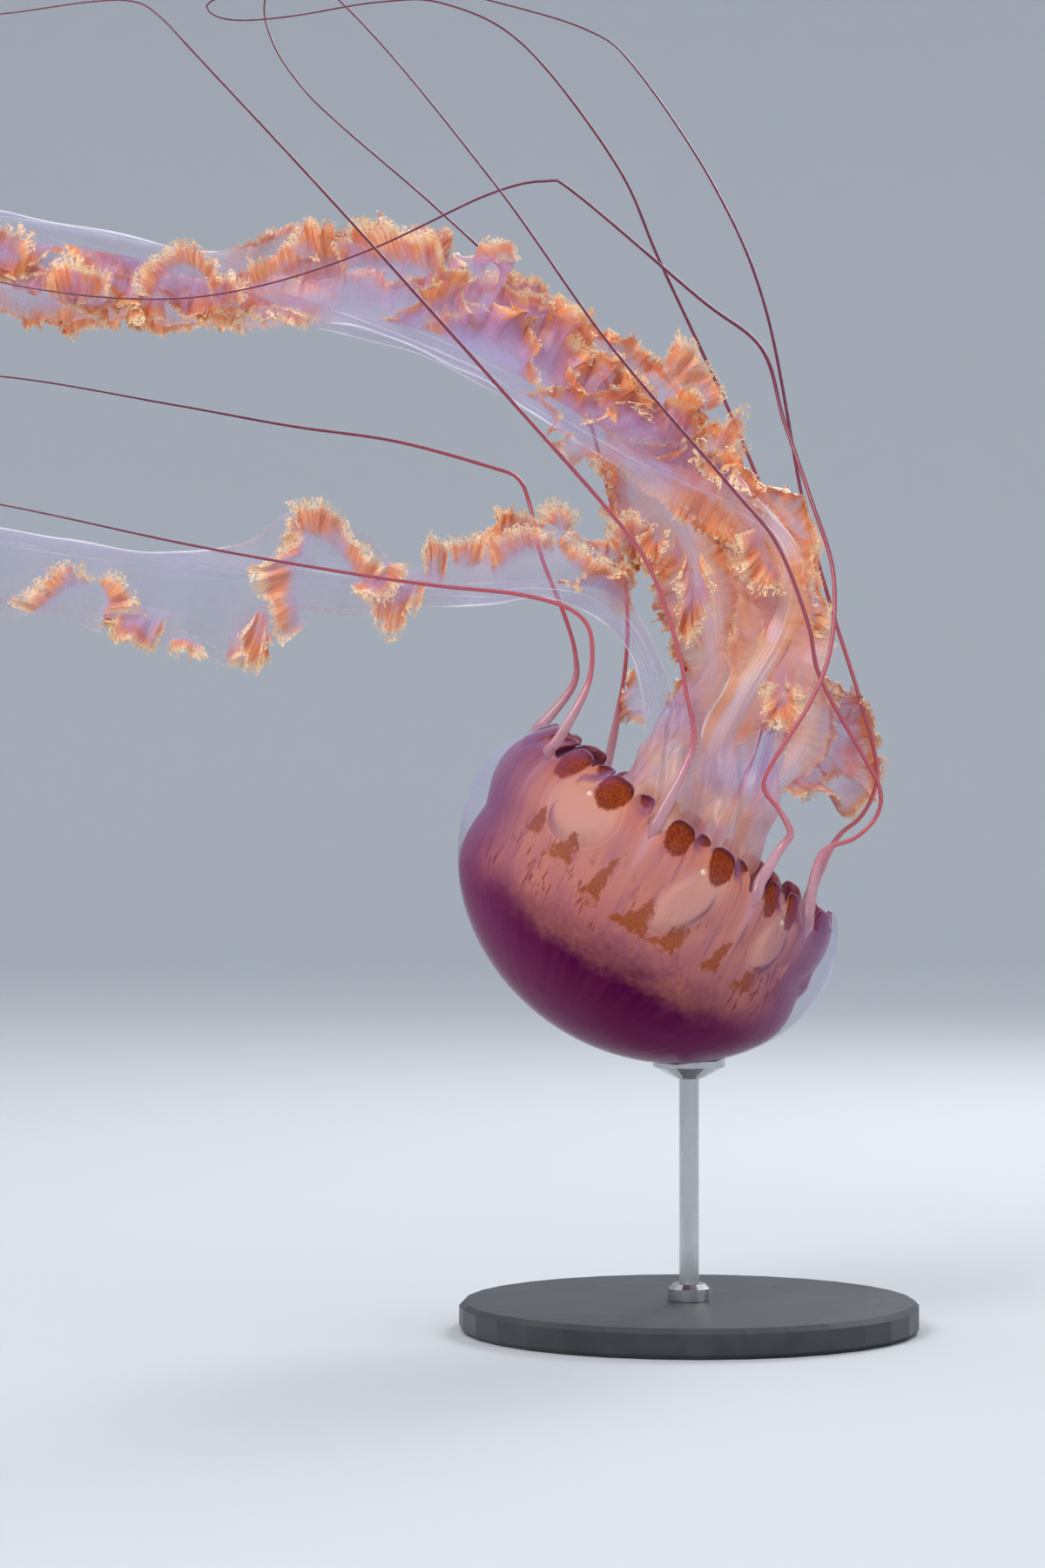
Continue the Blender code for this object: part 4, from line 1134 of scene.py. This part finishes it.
def make_tentacle(name, settings, bell, material):
    """A tapering thread drawn out of its cleft, with a spindle root that runs down the bell."""
    angle, solids = TENTACLES[name]
    start = settings.spindle
    route = Route([*tentacle_root(settings, bell, angle), *metres(TENTACLE_ROUTES[name], 3)])
    rows = round(route.length / TENTACLE_STEP) + 1
    bm = tube_of_rows(TENTACLE_COLUMNS, rows, ("along",))
    for ring, share, here, side, other in rings_along(bm, route, rows, TENTACLE_REACH):
        distance = route.length * share
        from_cleft = distance - start
        radius = tentacle_radius(settings, max(0.0, from_cleft), route.length - start)
        radius *= 1 + 0.10 * noise.noise(Vector((distance * 90, angle, 0.0))) * ease(from_cleft / 0.05)
        if from_cleft < 0:
            radius = blend(0.0004, settings.root_radius, ease(distance / start))
        flat = 1 - 0.45 * ease((0.05 - from_cleft) / 0.05)
        for vert in ring:
            turn = math.atan2(vert.co.y, vert.co.x)
            vert.co = here + side * (radius * flat * math.cos(turn)) + other * (radius * math.sin(turn))
            store(bm, vert, {"along": from_cleft})
    bmesh.ops.holes_fill(bm, edges=[edge for edge in bm.edges if edge.is_boundary])
    bmesh.ops.recalc_face_normals(bm, faces=bm.faces)
    nodes = [f"tentacle_{name}_{number + 1}" for number in range(solids)]
    finish_piece(f"tentacle_{name}_skin", bm, material, nodes)


# ---------------------------------------------------------------- oral arms


def arm_values(lip, rib, frill, root, *flow):
    """What the arms' material reads at a vertex."""
    return {"lip": lip, "rib": rib, "frill": frill, "root": root, "flow": Vector(flow)}


def rolled(out, roll):
    """Where a strip that rolls over past its middle lies: along its plane, and off it."""
    if out < 0.5 or abs(roll) < 0.01:
        return out, 0.0
    turn = roll * (2 * out - 1)
    return 0.5 + 0.5 * math.sin(turn) / roll, 0.5 * (1 - math.cos(turn)) / roll


class Arm:
    """An oral arm, whose sheets are read at a distance along it and a share across them.

    A station is the midrib's point, its forward, outward and normal directions, and the leaf's widths.
    """

    def __init__(self, name, settings, bell):
        angle, twist = ARM_ROOTS[name]
        end = (ARM_ROOT_WIDTH, ARM_ROOT_WIDTH, twist)
        root = bell.point(angle, ARM_ROOT_RADIUS, ARM_ROOT_HEIGHT)
        above = bell.point(angle, ARM_ROOT_RADIUS + 0.002, ARM_ROOT_HEIGHT + 0.016)
        self.route = Route([(*root, *end), (*above, *end), *metres(ARM_ROUTES[name], 5)])
        self.settings = settings
        self.bare = dict(zip((1, -1), BARE_LENGTHS[name]))
        self.lobes = LOBES.get(name)
        self.flush = ARM_FLUSH[name]
        self.seed = len(name) * 3.7

    def station(self, distance):
        row = self.route.row(distance)
        forward = self.route.forward(distance, ARM_REACH)
        flat = Vector((forward.z, 0.0, -forward.x)).normalized()
        twist = math.radians(row[5])
        outward = flat * math.cos(twist) + forward.cross(flat) * math.sin(twist)
        return Vector(row[:3]), forward, outward, forward.cross(outward), {1: row[3], -1: row[4]}

    def wander(self, distance, length, lane, shift=0.0):
        """A value that wanders along the arm, about once in each length, and differs from lane to lane."""
        return noise.noise(Vector((distance / length, lane, self.seed + shift)))

    def pleats(self, distance, out, width, side, strength):
        """The fine pleats and crimps near the lip: along the normal, along the arm, and outwards."""
        settings = self.settings
        size = min(1.0, width / 0.022) * strength
        wander = 4.0 * self.wander(distance, 0.019, side * 7.3)
        pleat = math.tau * distance / settings.pleat_length + wander
        crimp = math.tau * distance / settings.crimp_length + 2.2 * wander
        tall = settings.pleat * (0.95 + 1.1 * self.wander(distance, 0.024, side * 3.1, 9))
        lift = size * tall * (out**3 * math.sin(pleat) + 0.60 * out**8 * math.sin(crimp))
        shift = size * tall * (0.8 * out**3 * math.sin(2 * pleat + 0.6) + 0.42 * out**8 * math.cos(crimp))
        reach = 0.0065 * out**3 * self.wander(distance, 0.013, side * 5.7, 4)
        reach += 0.34 * min(width, 0.032) * out**2 * self.wander(distance, 0.031, side * 4.1, 2)
        reach += 0.0026 * out**9 * self.wander(distance, 0.0026, side * 2.9, 6)
        return lift, shift, size * reach

    def crumple(self, co, out, strength):
        """Loose crumpling of a frill, stronger towards its lip."""
        broad = noise.noise_vector(co * 52 + Vector((self.seed, 0, 0)))
        fine = noise.noise_vector(co * 170)
        return broad * (0.0060 * strength * out**1.5) + fine * (0.0022 * strength * out**3)

    def gathered(self, distance, side):
        """How much frill the lip carries here, from almost none to all of it."""
        clump = self.wander(distance, 0.026, side * 6.1, 8)
        if not self.lobes:
            return 0.55 + 0.45 * ease(0.60 + 1.3 * clump)
        lobes = [(middle, half) for where, middle, half in self.lobes if where == side]
        found = [ease(1.25 * (1 - abs(distance - middle) / half)) for middle, half in lobes]
        return max([0.16 + 0.10 * clump, *found])

    def roll(self, distance, side, gathered):
        """How far the lip rolls over out of the leaf, in radians; below 0 is towards the visitor."""
        return gathered * (-0.9 + 3.4 * self.wander(distance, 0.040, side * 8.3, 5))

    def leaf(self, station, distance, across):
        """A point of the frilled leaf."""
        middle, forward, outward, normal, widths = station
        side = 1 if across >= 0 else -1
        out = abs(across)
        width = widths[side]
        wave = math.tau * distance / RUFFLE_LENGTHS[side]
        reach = width * (1 + 0.13 * out * math.sin(0.61 * wave + side))
        tall = min(self.settings.ruffle, 0.30 * width) * out**1.5
        ruffle = tall * (math.sin(wave) + 0.45 * math.sin(0.37 * wave + 2 * side))
        fold = self.settings.fold * width * out
        frilly = ease((width - 0.007) / 0.008) * ease((distance - self.bare[side]) / 0.05)
        frilly *= self.gathered(distance, side)
        lift, shift, further = self.pleats(distance, out, width, side, frilly)
        slide = 0.5 * tall * frilly * math.sin(2 * wave + 0.8)
        flat, raised = rolled(out, self.roll(distance, side, frilly))
        co = middle + outward * side * (flat * reach + further)
        co += normal * (ruffle + fold + lift + raised * width)
        co += forward * (shift + slide)
        co += self.crumple(co, out, frilly)
        root = self.flush * (1 - ease((distance - 0.20) / 0.16))
        rib = width * out
        return co, arm_values(width * (1 - out), rib, frilly, root, distance, side * rib, side * 0.5)

    def curtain(self, curtain, station, distance, across):
        """A point of a loose curtain that hangs from the midrib."""
        start, end, width, length, turn, lacy = curtain
        middle, forward, outward, normal, _ = station
        out = (across + 1) / 2
        share = (distance - start) / (end - start)
        turn = math.radians(turn + 25 * math.sin(3.1 * share + start * 50))
        away = outward * math.cos(turn) + normal * math.sin(turn)
        aside = forward.cross(away)
        middle = middle + outward * (0.009 * math.cos(turn)) + normal * 0.0035
        width *= min(1.0, 1.2 * math.sin(math.pi * min(max(share, 0.01), 0.99)) ** 0.95)
        wave = math.tau * distance / length + 2.0 * self.wander(distance, 0.03, start * 30)
        ruffle = 0.26 * width * out**1.4 * math.sin(wave)
        slide = 0.16 * width * out**1.6 * math.sin(2 * wave + 1)
        lift, shift, further = self.pleats(distance + start, out, width, 1, 0.9 * lacy**2)
        flat, raised = rolled(out, self.roll(distance + start, 1, 1.0))
        reach = width * flat * (1 + 0.18 * math.sin(0.43 * wave)) + further
        co = middle + away * reach + aside * (ruffle + lift + raised * width) + forward * (slide + shift)
        co += self.crumple(co, out, 0.3 + lacy)
        return co, arm_values(width * (1 - out), OFF_RIB, lacy, 1 - lacy, distance, width * out, turn)

    def broad_lobe(self, route, _station, distance, across):
        """A point of a broad lobe, laid between its foot and its lip, which its own route runs along."""
        out = (across + 1) / 2
        row = route.row(distance)
        lip, foot = Vector(row[:3]), Vector(row[3:])
        forward = route.forward(distance, LOBE_REACH)
        reach = 1.3 * (lip - foot)
        width = reach.length
        normal = forward.cross(reach).normalized()
        normal = -normal if normal.y > 0 else normal
        lane = distance + 7 * route.length
        lift, shift, further = self.pleats(lane, out, width, 1, 0.75)
        folds = 0.17 * width * out * math.sin(math.tau * lane / 0.021 + 2 * math.sin(lane * 130))
        bulge = 0.16 * width * math.sin(math.pi * out)
        co = lip - reach + reach * (out + further / width)
        co += normal * (bulge + folds + lift)
        co += forward * shift
        co += self.crumple(co, out, 0.7)
        to_end = min(distance, route.length - distance)
        to_lip = min(0.60 * width * (1 - out), 0.8 * to_end + 0.004 * (1 - out))
        return co, arm_values(to_lip, OFF_RIB, 0.95 * ease(2.6 * out), 0.0, lane, width * out, 5.0)

    def lip_frill(self, side, station, distance, across):
        """A point of the narrow crimped ribbon along a lip, which doubles the lip's folds."""
        _, forward, outward, normal, widths = station
        out = (across + 1) / 2
        anchor, values = self.leaf(station, distance, 0.84 * side)
        size = min(1.0, 1.25 * values["frill"]) * min(1.0, widths[side] / 0.02)
        width = size * (0.0090 + 0.008 * self.wander(distance, 0.014, side * 9.1))
        wander = 2.6 * self.wander(distance, 0.012, side * 6.3, 3)
        wave = math.tau * distance / 0.0070 + wander
        turn = 0.9 * math.sin(math.tau * distance / 0.047 + side) + 0.35 * side
        away = outward * (side * math.cos(turn)) + normal * math.sin(turn)
        aside = forward.cross(away)
        co = anchor + away * (width * out) + aside * (0.36 * width * out**1.2 * math.sin(wave))
        co += forward * (0.30 * width * out**1.5 * math.sin(2 * wave + 0.5))
        crimp = 0.0016 * size * out**2 * math.sin(3.1 * wave + wander)
        co += aside * crimp + self.crumple(co, out, 0.7 * size)
        frilly = min(1.0, 1.3 * size)
        return co, arm_values(width * (1 - out), OFF_RIB, frilly, 0.0, distance, width * out, side * 3.0)


def lay_sheet(bm, arm, start, end, rows, shape):
    """A grid laid along the arm, each vertex placed by the given shape."""
    stations = max(4, round((end - start) / arm.settings.step))
    made = bmesh.ops.create_grid(bm, x_segments=stations, y_segments=rows, size=1.0)["verts"]
    by_distance = {}
    for vert in made:
        by_distance.setdefault(round((vert.co.x + 1) / 2, 7), []).append(vert)
    for share, verts in sorted(by_distance.items()):
        distance = blend(start, end, share)
        station = arm.station(distance)
        for vert in verts:
            across = vert.co.y * (1.5 - 0.5 * vert.co.y**2)
            vert.co, values = shape(station, distance, across)
            store(bm, vert, values)


def arm_sheets(name, arm):
    """Each piece of the arm, as its sheets: where each starts and ends, its rows and its shape."""
    length, rows = arm.route.length, arm.settings.rows
    sheets = {"leaf": [(0.0, length, rows, arm.leaf)]}
    sheets["lips"] = [(arm.bare[side], length, LIP_ROWS, partial(arm.lip_frill, side)) for side in (1, -1)]
    sheets["frill"] = [
        (curtain[0], min(curtain[1], length), rows // 2, partial(arm.curtain, curtain))
        for curtain in metres(CURTAINS[name], 4)
    ]
    if name in BROAD_LOBES:
        sheets["lobes"] = []
        for stand_off, outline in BROAD_LOBES[name]:
            depth = BROAD_LOBE_DEPTHS[name] - stand_off / 1000
            front = depth - LOBE_LEAN
            points = [(x, front, z, foot_x, depth, foot_z) for x, z, foot_x, foot_z in metres(outline, 4)]
            route = Route(points)
            sheets["lobes"].append((0.0, route.length, rows // 2, partial(arm.broad_lobe, route)))
    return sheets


def make_arm(name, settings, bell, material):
    """One oral arm: its folded leaf, the ribbons along its lips, its curtains and its broad lobes."""
    arm = Arm(name, settings, bell)
    for kind, sheets in arm_sheets(name, arm).items():
        bm = new_bmesh(ARM_FIELDS, ("flow",))
        for sheet in sheets:
            lay_sheet(bm, arm, *sheet)
        if kind == "lips":
            frill = bm.verts.layers.float["frill"]
            bare = [vert for vert in bm.verts if vert[frill] < LEAST_FRILL]
            bmesh.ops.delete(bm, geom=bare, context="VERTS")
        nodes = [f"arm_{name}_{number + 1}" for number in range(ARM_NODES[name])] if kind == "leaf" else ()
        finish_piece(f"arm_{name}_{kind}", bm, material, nodes)


# ---------------------------------------------------------------- studio


def make_backdrop(studio):
    """A round paper sweep: a floor that curves up into a wall far behind the camera's reach."""
    bm = bmesh.new()
    outline = [(0.0, 0.0), (FLOOR_RADIUS, 0.0)]
    for i in range(1, 11):
        turn = i * math.pi / 20
        outline.append((FLOOR_RADIUS + SWEEP_BEND * math.sin(turn), SWEEP_BEND * (1 - math.cos(turn))))
    outline.append((FLOOR_RADIUS + SWEEP_BEND, WALL_HEIGHT))
    spin_line(bm, [bm.verts.new((radius, 0.0, height)) for radius, height in outline], 96)
    close_up(bm)
    bmesh.ops.reverse_faces(bm, faces=bm.faces)
    add_object("studio_sweep", bm, paper_material(studio))


def make_light(name, location, size, energy, colour):
    light = bpy.data.lights.new(name, "AREA")
    light.shape = "DISK"
    light.size = size
    light.energy = energy
    light.color = colour
    obj = bpy.data.objects.new(name, light)
    obj.location = location
    obj.rotation_euler = (LIT_POINT - obj.location).to_track_quat("-Z", "Y").to_euler()
    bpy.context.scene.collection.objects.link(obj)


def make_studio(studio):
    """The paper sweep, the lights, the air's even light and the visitor's camera."""
    scene = bpy.context.scene
    make_backdrop(studio)
    for light in LIGHTS:
        make_light(*light)
    scene.world = bpy.data.worlds.new("studio_air")
    scene.world.use_nodes = True
    air = scene.world.node_tree.nodes["Background"].inputs
    air["Color"].default_value = (0.88, 0.93, 1.0, 1.0)
    air["Strength"].default_value = 0.98
    scene.view_settings.view_transform = "Standard"

    camera = bpy.data.cameras.new("visitor_view")
    camera.sensor_width = 36.0
    camera.lens = studio.lens
    obj = bpy.data.objects.new("visitor_view", camera)
    obj.location = (studio.offset, -studio.distance, studio.height)
    obj.rotation_euler = (math.pi / 2, 0.0, 0.0)
    scene.collection.objects.link(obj)
    scene.camera = obj


# ---------------------------------------------------------------- operators and panel


class NETTLE_OT_bell(bpy.types.Operator):
    """Model the bell's pigmented skin, its clear jelly, the mouth stalk and the mouth's veil"""

    bl_idname = "nettle.bell"
    bl_label = "Model Bell"

    def execute(self, context):
        noise.seed_set(NOISE_SEED)
        for make in (make_bell_skin, make_jelly, make_stalk, make_mouth_veil):
            make(context.scene.nettle_bell)
        return {"FINISHED"}


class NETTLE_OT_arms(bpy.types.Operator):
    """Model the four frilled oral arms"""

    bl_idname = "nettle.arms"
    bl_label = "Model Oral Arms"

    def execute(self, context):
        noise.seed_set(NOISE_SEED)
        settings = context.scene.nettle_arms
        material = arm_material(settings)
        for name in ARM_ROUTES:
            make_arm(name, settings, Bell(context.scene.nettle_bell), material)
        return {"FINISHED"}


class NETTLE_OT_tentacles(bpy.types.Operator):
    """Model the eight tentacles"""

    bl_idname = "nettle.tentacles"
    bl_label = "Model Tentacles"

    def execute(self, context):
        settings = context.scene.nettle_tentacles
        material = tentacle_material(settings)
        for name in TENTACLE_ROUTES:
            make_tentacle(name, settings, Bell(context.scene.nettle_bell), material)
        return {"FINISHED"}


class NETTLE_OT_stand(bpy.types.Operator):
    """Finish the stand's base, rod, collar and cup"""

    bl_idname = "nettle.stand"
    bl_label = "Finish Stand"

    def execute(self, context):
        paint, steel = paint_material(), steel_material()
        for name, finish in (("base", paint), ("rod", steel), ("collar", steel), ("cup", steel)):
            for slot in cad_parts[f"stand_{name}"].material_slots:
                slot.material = finish
        return {"FINISHED"}


class NETTLE_OT_studio(bpy.types.Operator):
    """Set up the paper sweep, the soft lights and the camera"""

    bl_idname = "nettle.studio"
    bl_label = "Set Up Studio"

    def execute(self, context):
        make_studio(context.scene.nettle_studio)
        return {"FINISHED"}


OPERATORS = (NETTLE_OT_studio, NETTLE_OT_bell, NETTLE_OT_arms, NETTLE_OT_tentacles, NETTLE_OT_stand)
SETTINGS = {
    "nettle_bell": BellSettings, "nettle_arms": ArmSettings,
    "nettle_tentacles": TentacleSettings, "nettle_studio": StudioSettings,
}


class NETTLE_PT_panel(bpy.types.Panel):
    bl_idname = "NETTLE_PT_panel"
    bl_label = "Sea Nettle"
    bl_space_type = "VIEW_3D"
    bl_region_type = "UI"
    bl_category = "Sea Nettle"

    def draw(self, context):
        for operator in OPERATORS:
            self.layout.operator(operator.bl_idname)
        for name, group in SETTINGS.items():
            box = self.layout.box()
            for prop in group.__annotations__:
                box.prop(getattr(context.scene, name), prop)


CLASSES = (*SETTINGS.values(), *OPERATORS, NETTLE_PT_panel)


def register():
    for kind in CLASSES:
        bpy.utils.register_class(kind)
    for name, group in SETTINGS.items():
        setattr(bpy.types.Scene, name, PointerProperty(type=group))


def unregister():
    for name in SETTINGS:
        delattr(bpy.types.Scene, name)
    for kind in reversed(CLASSES):
        bpy.utils.unregister_class(kind)


def main():
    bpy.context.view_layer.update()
    register()
    bpy.ops.nettle.studio()
    bpy.ops.nettle.bell()
    bpy.ops.nettle.arms()
    bpy.ops.nettle.tentacles()
    bpy.ops.nettle.stand()


if __name__ == "__main__":
    main()
